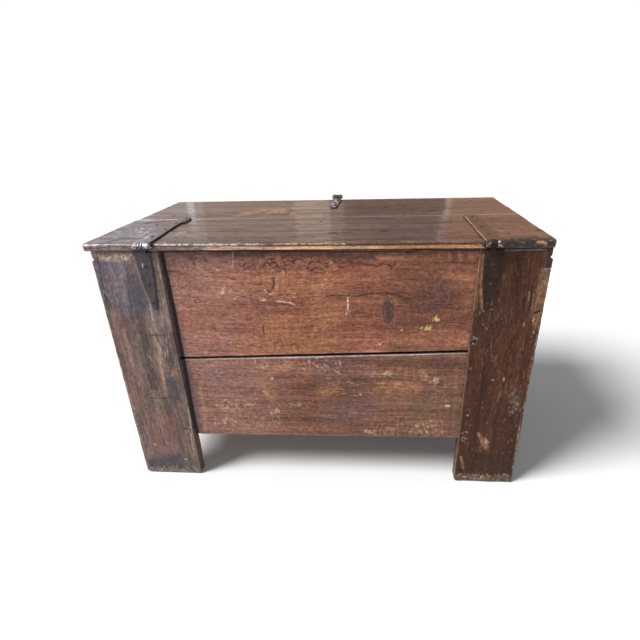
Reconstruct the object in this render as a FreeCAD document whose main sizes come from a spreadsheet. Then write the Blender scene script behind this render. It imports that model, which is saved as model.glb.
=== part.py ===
import FreeCAD, Part
import os
import re
import Sketcher
from FreeCAD import Vector

# A plank chest of oak: two planks in each long side housed between wide stiles that run
# down as feet, boarded ends with rails, a plank floor, and a two-plank lid on iron straps.
# X runs along the chest, Y from the hinge side to the hasp side, Z up. All sizes are in mm.

SIZES = {
    # lid
    "lid_length": 1220.0,
    "lid_depth": 684.0,
    "lid_thickness": 19.0,
    "lid_arris": 2.0,
    "lid_joint_gap": 1.2,
    "rear_plank_depth_left": 313.0,
    "rear_plank_depth_right": 345.0,
    "front_plank_inset": 4.0,
    "lid_overhang_rear": 7.0,
    "lid_overhang_front": 12.0,
    "lid_overhang_left": 12.0,
    "lid_overhang_right": 1.0,
    # lid battens
    "lid_batten_width": 45.0,
    "lid_batten_thickness": 24.0,
    "lid_batten_inset": 100.0,
    "lid_batten_end_gap": 15.0,
    # stiles
    "stile_height": 761.0,
    "stile_thickness": 38.0,
    "rear_left_stile_width": 188.0,
    "rear_right_stile_width": 182.0,
    "front_stile_width": 185.0,
    # long boards between the stiles
    "board_thickness": 24.0,
    "board_recess": 6.5,
    "board_top_drop": 4.0,
    "tongue_thickness": 11.0,
    "tongue_length": 20.0,
    "housing_clearance": 0.2,
    "rear_bottom_left": 159.0,
    "rear_bottom_right": 168.0,
    "rear_middle_left": 430.0,
    "rear_middle_right": 461.0,
    "rear_gap_left": 8.0,
    "rear_gap_right": 9.5,
    "front_bottom": 163.0,
    "front_middle": 446.0,
    "front_gap": 3.0,
    # oak pegs through the stiles and the tongues
    "peg_radius": 4.5,
    "peg_inset": 11.0,
    "lower_peg_rise": 22.0,
    "lower_peg_drop": 45.0,
    "upper_peg_rise": 38.5,
    "upper_peg_drop": 57.0,
    # ends
    "rail_thickness": 20.0,
    "top_rail_height": 56.0,
    "top_rail_rebate_height": 26.0,
    "top_rail_rebate_depth": 7.0,
    "top_rail_groove": 1.6,
    "bottom_rail_height": 52.0,
    "bottom_rail_level": 152.0,
    "bottom_rail_tenon": 22.0,
    "bottom_rail_shoulder": 4.0,
    "rail_peg_radius": 4.0,
    "rail_peg_length": 52.0,
    "end_board_thickness": 20.0,
    "end_board_bottom": 168.0,
    "end_board_middle": 455.0,
    "end_board_gap": 2.5,
    "end_tongue_length": 12.0,
    # floor
    "floor_thickness": 18.0,
    "floor_rise": 47.0,
    "floor_gap": 2.0,
    "floor_batten_width": 50.0,
    "floor_batten_height": 25.0,
    "floor_batten_housing": 10.0,
    "floor_batten_inset": 50.0,
    # strap hinges
    "hinge_inset_left": 32.0,
    "hinge_inset_right": 28.0,
    "strap_width": 46.0,
    "strap_thickness": 4.5,
    "strap_middle_eye": 14.0,
    "hinge_pin_radius": 5.5,
    "pin_clearance": 0.05,
    "eye_side_gap": 0.4,
    "hinge_eye_gap": 1.0,
    "eye_rise": 0.6,
    "pin_head_radius": 7.5,
    "pin_head_length": 4.5,
    "upper_strap_length_left": 345.0,
    "upper_strap_length_right": 322.0,
    "lower_strap_shift": 9.0,
    "lower_strap_drop": 3.0,
    "lower_strap_joint_drop": 6.0,
    "lower_strap_length": 167.0,
    "lower_strap_tip_radius": 8.0,
    "lower_strap_tip_shift": 4.0,
    "neck_drop": 0.5,
    # hasp
    "hasp_x": 22.0,
    "hasp_strap_width": 33.0,
    "hasp_strap_length": 190.0,
    "hasp_strap_thickness": 4.5,
    "hasp_strap_end_width": 24.0,
    "hasp_middle_eye": 12.0,
    "hasp_pin_radius": 4.4,
    "hasp_pin_head_radius": 6.0,
    "hasp_pin_head_length": 3.0,
    "hasp_eye_gap": 0.6,
    "hasp_thickness": 3.5,
    "hasp_neck_gap": 1.5,
    "hasp_length": 125.0,
    "hasp_tip_radius": 14.0,
    "hasp_slot_width": 10.0,
    "hasp_slot_height": 38.0,
    "hasp_slot_rise": 27.0,
    # staple
    "staple_wire_radius": 2.5,
    "staple_height": 26.0,
    "staple_reach": 24.0,
    "staple_clench": 9.0,
    "staple_bend": 4.5,
    "staple_plate_width": 56.0,
    "staple_plate_height": 72.0,
    "staple_plate_thickness": 2.5,
    # hand-forged nails
    "nail_shank_radius": 2.2,
    "nail_head_radius": 6.0,
    "nail_head_height": 2.4,
    "nail_hole_clearance": 0.1,
    "stile_nail_length": 30.0,
    "lid_nail_length": 40.0,
    "strap_nail_length": 20.0,
    "plate_nail_radius": 1.5,
    "plate_nail_head_radius": 3.6,
    "plate_nail_head_height": 1.6,
    "plate_nail_length": 18.0,
    "plate_nail_margin": 9.0,
    # how far a cutting shape runs past the face that it cuts through
    "cut_overrun": 2.0,
}

# Places that follow from the sizes. Each formula may name sizes and other formulas.
FORMULAS = {
    "hinge_bore": "hinge_pin_radius + pin_clearance",
    "hinge_eye": "hinge_bore + strap_thickness",
    "hasp_bore": "hasp_pin_radius + pin_clearance",
    "hasp_eye": "hasp_bore + hasp_strap_thickness",
    "hasp_ring": "hasp_bore + hasp_thickness",
    # the origin lies midway between the hinge eyes and the hasp's eye
    "lid_rear": "-(lid_depth + hasp_eye_gap + 2 * hasp_eye - hinge_eye_gap - 2 * hinge_eye) / 2",
    "lid_front": "lid_rear + lid_depth",
    "lid_left": "-lid_length / 2",
    "lid_right": "lid_length / 2",
    "lid_top": "stile_height + lid_thickness",
    "hinge_y": "lid_rear - hinge_eye_gap - hinge_eye",
    "hinge_z": "lid_top + strap_thickness + eye_rise - hinge_eye",
    "hasp_y": "lid_front + hasp_eye_gap + hasp_eye",
    "hasp_z": "lid_top + hasp_eye - eye_rise",
    "rear_face": "lid_rear + lid_overhang_rear",
    "front_face": "lid_front - lid_overhang_front",
    "case_left": "lid_left + lid_overhang_left",
    "case_right": "lid_right - lid_overhang_right",
    "rear_left_edge": "case_left + rear_left_stile_width",
    "rear_right_edge": "case_right - rear_right_stile_width",
    "front_left_edge": "case_left + front_stile_width",
    "front_right_edge": "case_right - front_stile_width",
    "hinge_x_left": "rear_left_edge - hinge_inset_left",
    "hinge_x_right": "rear_right_edge + hinge_inset_right",
    "lid_batten_spacing": "lid_right - lid_batten_inset",
    "board_top": "stile_height - board_top_drop",
    "tongue_offset": "board_recess + (board_thickness - tongue_thickness) / 2",
    "board_back": "board_recess + board_thickness",
    "top_rail_bottom": "stile_height - top_rail_height",
    "rebate_level": "stile_height - top_rail_rebate_height",
    "end_tongue_offset": "rail_thickness + (end_board_thickness - tongue_thickness) / 2",
    "rail_tenon_offset": "(rail_thickness - tongue_thickness) / 2",
    "tenon_bottom": "bottom_rail_level + bottom_rail_shoulder",
    "tenon_top": "bottom_rail_level + bottom_rail_height - bottom_rail_shoulder",
    "end_face": "rail_thickness + end_board_thickness",
    "rear_inside": "rear_face + board_back",
    "front_inside": "front_face - board_back",
    "floor_level": "rear_bottom_right + floor_rise",
    "floor_under": "floor_level - floor_thickness",
    "floor_batten_bottom": "floor_under - floor_batten_height",
    "floor_batten_spacing": "-rear_left_edge - floor_batten_inset",
    "hasp_slot_drop": "hasp_length - hasp_slot_rise",
    "staple_z": "hasp_z - hasp_slot_drop",
    "staple_face": "front_face - board_recess",
    "staple_loop": "(staple_height - 2 * staple_wire_radius) / 2",
    "nail_hole": "nail_shank_radius + nail_hole_clearance",
    "plate_nail_hole": "plate_nail_radius + nail_hole_clearance",
    "lower_strap_top": "stile_height - lower_strap_drop",
    "lower_strap_bottom": "lower_strap_top - lower_strap_length",
}

# Nail places along each strap, as shares of its length from the eye to the tip.
UPPER_NAIL_SHARES = {"left": (0.18, 0.44, 0.68, 0.95), "right": (0.18, 0.45, 0.68, 0.88)}
LOWER_NAIL_SHARES = (0.24, 0.545, 0.86)
HASP_NAIL_SHARES = (0.22, 0.55, 0.85)
# Outline of each upper strap: shares of its length with the half width there as a share of
# the strap's width. The left one narrows to a waist behind a broad end.
UPPER_STRAP_OUTLINES = {
    "left": ((0, 0.5), (0.2, 0.42), (0.4, 0.31), (0.56, 0.25), (0.71, 0.2), (0.78, 0.46),
             (0.93, 0.38), (1, 0.13)),
    "right": ((0, 0.5), (1, 0.435)),
}
# Half width of the lower strap at a share of its length: inner side, then outer side.
LOWER_STRAP_WAIST_SHARE = 0.5
LOWER_STRAP_INNER_SHARE = 0.44
LOWER_STRAP_OUTER_SHARE = 0.36
# Nail places across each lid plank, as shares of its depth.
BATTEN_NAIL_SHARES = (0.2, 0.8)

doc = FreeCAD.newDocument("PlankChest")
sheet = doc.addObject("Spreadsheet::Sheet", "Sizes")
sheet.Label = "Sizes"
for row, (alias, number) in enumerate(SIZES.items(), start=1):
    sheet.set(f"A{row}", alias)
    sheet.set(f"B{row}", str(number))
    sheet.setAlias(f"B{row}", alias)
doc.recompute()

PARTS = []


def expand(text):
    """The formula with every name traced back to cells of the sheet."""
    def cell(match):
        word = match.group(0)
        if word in FORMULAS:
            return "(" + expand(FORMULAS[word]) + ")"
        return "Sizes." + word
    return re.sub(r"[a-z][a-z_]+", cell, str(text))


def value(text):
    """The formula's number for the present sizes."""
    result = sheet.evalExpression(expand(text))
    return float(getattr(result, "Value", result))


def reach(base, sign, near, far):
    """Low and high bounds of a stretch that lies from near to far beside base."""
    bounds = (f"{base} {sign} ({near})", f"{base} {sign} ({far})")
    return bounds if sign == "+" else bounds[::-1]


def beside(centre, half):
    """Low and high bounds of a stretch centred on a place."""
    return (f"{centre} - ({half})", f"{centre} + ({half})")


def new_body(name):
    body = doc.addObject("PartDesign::Body", name)
    body.Label = name
    PARTS.append(body)
    return body


def new_sketch(body, role, level):
    """A sketch on one of the body's own origin planes, moved out to a level."""
    sketch = body.newObject("Sketcher::SketchObject", "Sketch")
    plane = next(item for item in body.Origin.OriginFeatures if item.Role == role)
    sketch.AttachmentSupport = [(plane, "")]
    sketch.MapMode = "FlatFace"
    sketch.setExpression("AttachmentOffset.Base.z", expand(level))
    return sketch


def pin_point(sketch, index, position, place):
    """Hold one point of the sketch at a place given by two formulas."""
    for kind, text in zip(("DistanceX", "DistanceY"), place):
        number = sketch.addConstraint(
            Sketcher.Constraint(kind, -1, 1, index, position, value(text)))
        sketch.setExpression(f"Constraints[{number}]", expand(text))


def draw_polygon(sketch, corners):
    points = [Vector(value(across), value(along), 0) for across, along in corners]
    first = sketch.GeometryCount
    count = len(points)
    for index, start in enumerate(points):
        sketch.addGeometry(Part.LineSegment(start, points[(index + 1) % count]))
    for index in range(count):
        following = first + (index + 1) % count
        sketch.addConstraint(Sketcher.Constraint("Coincident", first + index, 2, following, 1))
    for index, corner in enumerate(corners):
        pin_point(sketch, first + index, 1, corner)


def draw_circle(sketch, centre, radius):
    middle = Vector(value(centre[0]), value(centre[1]), 0)
    index = sketch.addGeometry(Part.Circle(middle, Vector(0, 0, 1), value(radius)))
    number = sketch.addConstraint(Sketcher.Constraint("Radius", index, value(radius)))
    sketch.setExpression(f"Constraints[{number}]", expand(radius))
    pin_point(sketch, index, 3, centre)


def rectangle(across, along):
    """Corners of a rectangle from its two pairs of bounds."""
    return [(across[0], along[0]), (across[1], along[0]),
            (across[1], along[1]), (across[0], along[1])]


def add(body, role, draw, low, high):
    """Pad what draw makes, from the low to the high bound along the plane's axis."""
    level = f"-({high})" if role == "XZ_Plane" else low
    sketch = new_sketch(body, role, level)
    draw(sketch)
    pad = body.newObject("PartDesign::Pad", "Pad")
    pad.Profile = sketch
    pad.setExpression("Length", expand(f"({high}) - ({low})"))
    sketch.Visibility = False
    return pad


def cut(body, role, draw, low, high):
    """Pocket what draw makes, from the low to the high bound along the plane's axis."""
    doc.recompute()
    before = body.Shape.Volume
    level = f"-({low})" if role == "XZ_Plane" else high
    sketch = new_sketch(body, role, level)
    draw(sketch)
    pocket = body.newObject("PartDesign::Pocket", "Pocket")
    pocket.Profile = sketch
    pocket.setExpression("Length", expand(f"({high}) - ({low})"))
    sketch.Visibility = False
    doc.recompute()
    if not body.Shape.Volume < before:
        raise RuntimeError(f"a pocket of {body.Label} cuts nothing")
    return pocket


def add_block(body, across, deep, tall):
    return add(body, "XY_Plane", lambda s: draw_polygon(s, rectangle(across, deep)), *tall)


def cut_block(body, across, deep, tall):
    return cut(body, "XY_Plane", lambda s: draw_polygon(s, rectangle(across, deep)), *tall)


def cut_holes(body, role, centres, radius, low, high):
    def draw(sketch):
        for centre in centres:
            draw_circle(sketch, centre, radius)
    return cut(body, role, draw, low, high)


def group(name, shapes):
    """Identical fasteners as separate solids in one sub-part."""
    item = doc.addObject("Part::Feature", name)
    item.Label = name
    item.Shape = Part.makeCompound(shapes)
    PARTS.append(item)
    return item


def point(place):
    return Vector(*(value(text) for text in place))


def nail(place, out, shank, head, height, length):
    """A nail with a domed head, its head's underside at place, pointing away from out."""
    shank_radius = value(shank)
    head_radius = value(head)
    head_height = value(height)
    whole = value(length)
    tip = 2 * shank_radius
    corners = [Vector(0, 0, -whole), Vector(shank_radius, 0, tip - whole),
               Vector(shank_radius, 0, 0), Vector(head_radius, 0, 0)]
    edges = [Part.LineSegment(a, b).toShape() for a, b in zip(corners, corners[1:])]
    crown = Vector(0, 0, head_height)
    bulge_radius = (head_radius ** 2 + head_height ** 2) / (2 * head_height)
    half = head_radius / 2
    sagitta = (bulge_radius ** 2 - half ** 2) ** 0.5
    middle = Vector(half, 0, sagitta + head_height - bulge_radius)
    edges.append(Part.Arc(corners[-1], middle, crown).toShape())
    edges.append(Part.LineSegment(crown, corners[0]).toShape())
    solid = Part.Face(Part.Wire(edges)).revolve(Vector(0, 0, 0), Vector(0, 0, 1), 360)
    turn = FreeCAD.Rotation(Vector(0, 0, 1), Vector(*out))
    solid.Placement = FreeCAD.Placement(point(place), turn)
    return solid


def iron_nail(place, out, length):
    return nail(place, out, "nail_shank_radius", "nail_head_radius", "nail_head_height", length)


def small_nail(place, out):
    return nail(place, out, "plate_nail_radius", "plate_nail_head_radius",
                "plate_nail_head_height", "plate_nail_length")


def peg(place, along, radius, length):
    return Part.makeCylinder(value(radius), value(length), point(place), Vector(*along))


# Both ends of the chest, seen along X: the outer plane and the sign that points inwards.
ENDS = {"left": ("case_left", "+"), "right": ("case_right", "-")}
# Both long sides, seen along Y: the outer plane and the sign that points inwards.
SIDES = {"rear": ("rear_face", "+"), "front": ("front_face", "-")}
BATTENS = {"left": "-lid_batten_spacing", "middle": "0", "right": "lid_batten_spacing"}
HINGES = {"left": ("hinge_x_left", "-"), "right": ("hinge_x_right", "+")}


def peg_place(side, end):
    """Where the pegs pass through a stile, seen along Y."""
    sign = "-" if end == "left" else "+"
    return f"{side}_{end}_edge {sign} peg_inset"


def peg_heights(side, end):
    """Heights of the pegs through a stile's joint with the lower and with the upper board."""
    bottom, top, gap = "front_bottom", "front_middle", "front_gap"
    if side == "rear":
        bottom, top, gap = f"rear_bottom_{end}", f"rear_middle_{end}", f"rear_gap_{end}"
    return {"lower": (f"{bottom} + lower_peg_rise", f"{top} - lower_peg_drop"),
            "upper": (f"{top} + {gap} + upper_peg_rise", "board_top - upper_peg_drop")}


def peg_places(side, end, *levels):
    """Centres of the pegs through a stile, seen along Y."""
    heights = peg_heights(side, end)
    return [(peg_place(side, end), height) for level in levels for height in heights[level]]


def lower_strap_centre(end):
    centre, outward = HINGES[end]
    return f"{centre} {outward} lower_strap_shift"


def lower_nail_places(end):
    centre, outward = HINGES[end]
    inward = "-" if outward == "+" else "+"
    for share in LOWER_NAIL_SHARES:
        across = f"{lower_strap_centre(end)} {inward} lower_strap_tip_shift * {share}"
        yield across, f"lower_strap_top - lower_strap_length * {share}"


def make_stile(side, end, width):
    face, deeper = SIDES[side]
    outer, inward = ENDS[end]
    body = new_body(f"{side}_{end}_stile")
    across = reach(outer, inward, "0", width)
    deep = reach(face, deeper, "0", "stile_thickness")
    add_block(body, across, deep, ("0", "stile_height"))
    edge = f"{side}_{end}_edge"
    outward = "-" if inward == "+" else "+"
    bottom = f"rear_bottom_{end}" if side == "rear" else "front_bottom"
    above = "stile_height + cut_overrun"
    clear = "housing_clearance"
    # groove for the long boards' tongues
    cut_block(body, reach(edge, outward, "-cut_overrun", f"tongue_length + {clear}"),
              reach(face, deeper, f"tongue_offset - {clear}",
                    f"tongue_offset + tongue_thickness + {clear}"),
              (f"{bottom} - {clear}", above))
    # notch for the end's top rail
    cut_block(body, reach(outer, inward, "-cut_overrun", "rail_thickness"),
              reach(face, deeper, "-cut_overrun", "stile_thickness + cut_overrun"),
              ("top_rail_bottom", above))
    # groove for the end boards
    inner_faces = reach(face, deeper, f"stile_thickness - end_tongue_length - {clear}",
                        "stile_thickness + cut_overrun")
    cut_block(body, reach(outer, inward, f"end_tongue_offset - {clear}",
                          f"end_tongue_offset + tongue_thickness + {clear}"),
              inner_faces, (f"end_board_bottom - {clear}", above))
    # mortise for the end's bottom rail
    cut_block(body, reach(outer, inward, f"rail_tenon_offset - {clear}",
                          f"rail_tenon_offset + tongue_thickness + {clear}"),
              reach(face, deeper, f"stile_thickness - bottom_rail_tenon - {clear}",
                    "stile_thickness + cut_overrun"),
              (f"tenon_bottom - {clear}", f"tenon_top + {clear}"))
    cut_holes(body, "XZ_Plane", peg_places(side, end, "lower", "upper"), "peg_radius",
              *reach(face, deeper, "-cut_overrun", "stile_thickness + cut_overrun"))
    # hole for the peg through the top rail
    cut_holes(body, "YZ_Plane", [(f"{face} {deeper} stile_thickness / 2",
                                  "(top_rail_bottom + rebate_level) / 2")], "rail_peg_radius",
              *reach(outer, inward, "0", "rail_peg_length"))
    if side == "rear":
        cut_holes(body, "XZ_Plane", list(lower_nail_places(end)), "nail_hole",
                  "rear_face - cut_overrun", "rear_face + stile_nail_length")
    return body


def make_long_board(side, level, bottoms, tops):
    """A board between two stiles with a tongue at each end."""
    face, deeper = SIDES[side]
    body = new_body(f"{side}_{level}_board")
    left = f"{side}_left_edge"
    right = f"{side}_right_edge"
    outline = [(left, bottoms[0]), (right, bottoms[1]), (right, tops[1]), (left, tops[0])]
    thick = reach(face, deeper, "board_recess", "board_back")
    add(body, "XZ_Plane", lambda s: draw_polygon(s, outline), *thick)
    tongue = reach(face, deeper, "tongue_offset", "tongue_offset + tongue_thickness")
    ends = ((left, "-", 0, "left"), (right, "+", 1, "right"))
    for edge, outward, index, end in ends:
        add_block(body, reach(edge, outward, "0", "tongue_length"), tongue,
                  (bottoms[index], tops[index]))
    centres = [place for end in ENDS for place in peg_places(side, end, level)]
    cut_holes(body, "XZ_Plane", centres, "peg_radius", *tongue)
    return body


def make_batten_housings(body, side):
    """Housings in a lower board's inner face for the ends of the floor battens."""
    face, deeper = SIDES[side]
    for spacing in ("-floor_batten_spacing", "0", "floor_batten_spacing"):
        cut_block(body, beside(spacing, "floor_batten_width / 2 + housing_clearance"),
                  reach(face, deeper, "board_back - floor_batten_housing - housing_clearance",
                        "board_back + cut_overrun"),
                  ("floor_batten_bottom - housing_clearance", "floor_under"))


def make_end_board(name, end, bottom, top):
    outer, inward = ENDS[end]
    body = new_body(name)
    add_block(body, reach(outer, inward, "rail_thickness", "end_face"),
              ("rear_face + stile_thickness", "front_face - stile_thickness"), (bottom, top))
    tongue = reach(outer, inward, "end_tongue_offset", "end_tongue_offset + tongue_thickness")
    add_block(body, tongue, ("rear_face + stile_thickness - end_tongue_length",
                             "front_face - stile_thickness + end_tongue_length"), (bottom, top))
    return body


def make_top_rail(end):
    """The end's top rail, lapped through the stiles' edges, with a rebated upper half."""
    outer, inward = ENDS[end]
    body = new_body(f"{end}_end_top_rail")
    near = f"{outer} {inward} top_rail_rebate_depth"
    deep = f"{outer} {inward} rail_thickness"
    notch = f"{outer} {inward} 2 * top_rail_rebate_depth"
    outline = [(outer, "top_rail_bottom"), (deep, "top_rail_bottom"), (deep, "stile_height"),
               (near, "stile_height"), (near, "rebate_level + top_rail_groove"),
               (notch, "rebate_level + top_rail_groove"), (notch, "rebate_level"),
               (outer, "rebate_level")]
    add(body, "XZ_Plane", lambda s: draw_polygon(s, outline), "rear_face", "front_face")
    centres = [(f"{face} {deeper} stile_thickness / 2", "(top_rail_bottom + rebate_level) / 2")
               for face, deeper in SIDES.values()]
    cut_holes(body, "YZ_Plane", centres, "rail_peg_radius",
              *reach(outer, inward, "-cut_overrun", "rail_thickness + cut_overrun"))
    return body


def make_bottom_rail(end):
    outer, inward = ENDS[end]
    body = new_body(f"{end}_end_bottom_rail")
    add_block(body, reach(outer, inward, "0", "rail_thickness"),
              ("rear_face + stile_thickness", "front_face - stile_thickness"),
              ("bottom_rail_level", "bottom_rail_level + bottom_rail_height"))
    add_block(body, reach(outer, inward, "rail_tenon_offset",
                          "rail_tenon_offset + tongue_thickness"),
              ("rear_face + stile_thickness - bottom_rail_tenon",
               "front_face - stile_thickness + bottom_rail_tenon"),
              ("tenon_bottom", "tenon_top"))
    return body


def make_floor():
    """Three boards laid lengthwise on three battens."""
    for name, spacing in (("left", "-floor_batten_spacing"), ("middle", "0"),
                          ("right", "floor_batten_spacing")):
        batten = new_body(f"floor_batten_{name}")
        add_block(batten, beside(spacing, "floor_batten_width / 2"),
                  ("rear_inside - floor_batten_housing", "front_inside + floor_batten_housing"),
                  ("floor_batten_bottom", "floor_under"))
    width = "(front_face - rear_face - 2 * stile_thickness - 4 * floor_gap) / 3"
    for index, name in enumerate(("rear", "middle", "front")):
        low = f"rear_face + stile_thickness + floor_gap + {index} * ({width} + floor_gap)"
        board = new_body(f"floor_board_{name}")
        add_block(board, ("case_left + end_face + floor_gap", "case_right - end_face - floor_gap"),
                  (low, f"{low} + {width}"), ("floor_under", "floor_level"))


def joint_at(across):
    """How far back the joint between the lid's planks lies at a place along the lid."""
    slope = "(rear_plank_depth_right - rear_plank_depth_left) / lid_length"
    return f"lid_rear + rear_plank_depth_left + ({across} - lid_left) * {slope}"


def upper_nail_places(end):
    """Centres of the nails through an upper strap, seen from above."""
    centre = HINGES[end][0]
    return [(centre, f"lid_rear + upper_strap_length_{end} * {share}")
            for share in UPPER_NAIL_SHARES[end]]


def batten_nail_places():
    """Centres of the nails that hold the battens, seen from above."""
    places = []
    for spacing in BATTENS.values():
        joint = joint_at(spacing)
        for share in BATTEN_NAIL_SHARES:
            places.append((spacing, f"lid_rear + ({joint} - lid_rear) * {share}"))
            places.append((spacing, f"{joint} + (lid_front - ({joint})) * {share}"))
    return places


def hasp_nail_places():
    return [("hasp_x", f"lid_front - hasp_strap_length * {share}") for share in HASP_NAIL_SHARES]


def is_on_rear_plank(place):
    return value(place[1]) < value(joint_at(place[0]))


def make_lid_plank(name, outline, wanted):
    """A lid plank with softened top arrises and the holes of the nails that pass through it."""
    body = new_body(name)
    plank = add(body, "XY_Plane", lambda s: draw_polygon(s, outline), "stile_height", "lid_top")
    doc.recompute()
    top = value("lid_top")
    names = [f"Edge{index}" for index, edge in enumerate(body.Shape.Edges, start=1)
             if min(vertex.Z for vertex in edge.Vertexes) > top - value("lid_arris")]
    arris = body.newObject("PartDesign::Chamfer", "Chamfer")
    arris.Base = (plank, names)
    arris.setExpression("Size", expand("lid_arris"))
    doc.recompute()
    strap_nails = upper_nail_places("left") + upper_nail_places("right") + hasp_nail_places()
    for centres, depth in ((strap_nails, "strap_nail_length"),
                           (batten_nail_places(), "lid_nail_length")):
        mine = [place for place in centres if is_on_rear_plank(place) == wanted]
        low = f"lid_top - {depth} - cut_overrun"
        if mine:
            cut_holes(body, "XY_Plane", mine, "nail_hole", low, "lid_top + cut_overrun")
    return body


def make_lid():
    rear = [("lid_left", "lid_rear"), ("lid_right", "lid_rear"),
            ("lid_right", "lid_rear + rear_plank_depth_right"),
            ("lid_left", "lid_rear + rear_plank_depth_left")]
    make_lid_plank("lid_rear_plank", rear, True)
    front_left = "lid_left + front_plank_inset"
    front = [(front_left, f"{joint_at(front_left)} + lid_joint_gap"),
             ("lid_right", "lid_rear + rear_plank_depth_right + lid_joint_gap"),
             ("lid_right", "lid_front"), (front_left, "lid_front")]
    make_lid_plank("lid_front_plank", front, False)
    for name, spacing in BATTENS.items():
        batten = new_body(f"lid_batten_{name}")
        add_block(batten, beside(spacing, "lid_batten_width / 2"),
                  ("rear_face + stile_thickness + lid_batten_end_gap",
                   "front_face - stile_thickness - lid_batten_end_gap"),
                  ("stile_height - lid_batten_thickness", "stile_height"))
        mine = [place for place in batten_nail_places() if place[0] == spacing]
        cut_holes(batten, "XY_Plane", mine, "nail_hole",
                  "lid_top - lid_nail_length - cut_overrun", "stile_height + cut_overrun")
    nails = [iron_nail((across, along, "lid_top"), (0, 0, 1), "lid_nail_length")
             for across, along in batten_nail_places()]
    group("lid_batten_nails", nails)


def make_upper_strap(end):
    """The hinge strap on the lid, with an eye on each side of the lower strap's eye."""
    centre = HINGES[end][0]
    body = new_body(f"upper_strap_{end}")
    near = beside(centre, "strap_width / 2")
    sides = [[(f"{centre} {sign} strap_width * {half}",
               f"lid_rear + upper_strap_length_{end} * {share}")
              for share, half in UPPER_STRAP_OUTLINES[end]] for sign in "-+"]
    leaf = [(near[0], "hinge_y"), *sides[0], *sides[1][::-1], (near[1], "hinge_y")]
    add(body, "XY_Plane", lambda s: draw_polygon(s, leaf), "lid_top", "lid_top + strap_thickness")
    axis = ("hinge_y", "hinge_z")
    add(body, "YZ_Plane", lambda s: draw_circle(s, axis, "hinge_eye"), *near)
    cut_block(body, beside(centre, "strap_middle_eye / 2 + eye_side_gap"),
              ("hinge_y - hinge_eye - cut_overrun", "lid_rear"),
              ("hinge_z - hinge_eye - cut_overrun", "lid_top + strap_thickness + cut_overrun"))
    cut_holes(body, "YZ_Plane", [axis], "hinge_bore",
              f"{near[0]} - cut_overrun", f"{near[1]} + cut_overrun")
    cut_holes(body, "XY_Plane", upper_nail_places(end), "nail_hole",
              "lid_top - cut_overrun", "lid_top + strap_thickness + cut_overrun")
    return body


def make_lower_strap(end):
    """The hinge strap on the stile, joggled in from its eye under the lid's edge."""
    centre, outward = HINGES[end]
    inward = "-" if outward == "+" else "+"
    body = new_body(f"lower_strap_{end}")
    shifted = lower_strap_centre(end)
    waist = f"lower_strap_top - lower_strap_length * {LOWER_STRAP_WAIST_SHARE}"
    tip = "lower_strap_bottom + lower_strap_tip_radius"
    tip_centre = f"{shifted} {inward} lower_strap_tip_shift"
    inner = f"{shifted} {inward} strap_width * {LOWER_STRAP_INNER_SHARE}"
    outer = f"{shifted} {outward} strap_width * {LOWER_STRAP_OUTER_SHARE}"
    leaf = [(f"{shifted} {inward} strap_width / 2", "lower_strap_top"), (inner, waist),
            (f"{tip_centre} {inward} lower_strap_tip_radius", tip),
            (f"{tip_centre} {outward} lower_strap_tip_radius", tip), (outer, waist),
            (f"{shifted} {outward} strap_width / 2", "lower_strap_top")]
    plate = ("rear_face - strap_thickness", "rear_face")
    add(body, "XZ_Plane", lambda s: draw_polygon(s, leaf), *plate)
    add(body, "XZ_Plane",
        lambda s: draw_circle(s, (tip_centre, tip), "lower_strap_tip_radius"), *plate)
    eye_width = beside(centre, "strap_middle_eye / 2")
    turn = "stile_height - neck_drop"
    back = "hinge_y + hinge_eye - eye_rise"
    joint = "lower_strap_top - lower_strap_joint_drop"
    neck = [(f"{back} - strap_thickness", "hinge_z"), (back, "hinge_z"),
            (back, turn), ("rear_face", joint), ("rear_face", f"{joint} - strap_thickness"),
            ("rear_face - strap_thickness", f"{joint} - strap_thickness"),
            (f"{back} - strap_thickness", f"{turn} - strap_thickness / 2")]
    add(body, "YZ_Plane", lambda s: draw_polygon(s, neck), *eye_width)
    axis = ("hinge_y", "hinge_z")
    add(body, "YZ_Plane", lambda s: draw_circle(s, axis, "hinge_eye"), *eye_width)
    cut_holes(body, "YZ_Plane", [axis], "hinge_bore",
              f"{eye_width[0]} - cut_overrun", f"{eye_width[1]} + cut_overrun")
    cut_holes(body, "XZ_Plane", list(lower_nail_places(end)), "nail_hole",
              "rear_face - strap_thickness - cut_overrun", "rear_face + cut_overrun")
    return body


def make_pin(name, centre, width, axis, radius, head_radius, head_length):
    """A pin through a knuckle, with a head beaten over at each side."""
    body = new_body(name)
    ends = beside(centre, f"{width} / 2 + eye_side_gap")
    add(body, "YZ_Plane", lambda s: draw_circle(s, axis, radius), *ends)
    add(body, "YZ_Plane", lambda s: draw_circle(s, axis, head_radius),
        f"{ends[0]} - {head_length}", ends[0])
    add(body, "YZ_Plane", lambda s: draw_circle(s, axis, head_radius),
        ends[1], f"{ends[1]} + {head_length}")
    return body


def make_hinges():
    for end, (centre, outward) in HINGES.items():
        make_upper_strap(end)
        make_lower_strap(end)
        make_pin(f"hinge_pin_{end}", centre, "strap_width", ("hinge_y", "hinge_z"),
                 "hinge_pin_radius", "pin_head_radius", "pin_head_length")
    upper = [iron_nail((across, along, "lid_top + strap_thickness"), (0, 0, 1),
                       "strap_nail_length")
             for end in HINGES for across, along in upper_nail_places(end)]
    group("upper_strap_nails", upper)
    lower = [iron_nail((across, "rear_face - strap_thickness", level), (0, -1, 0),
                       "stile_nail_length")
             for end in HINGES for across, level in lower_nail_places(end)]
    group("lower_strap_nails", lower)


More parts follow.
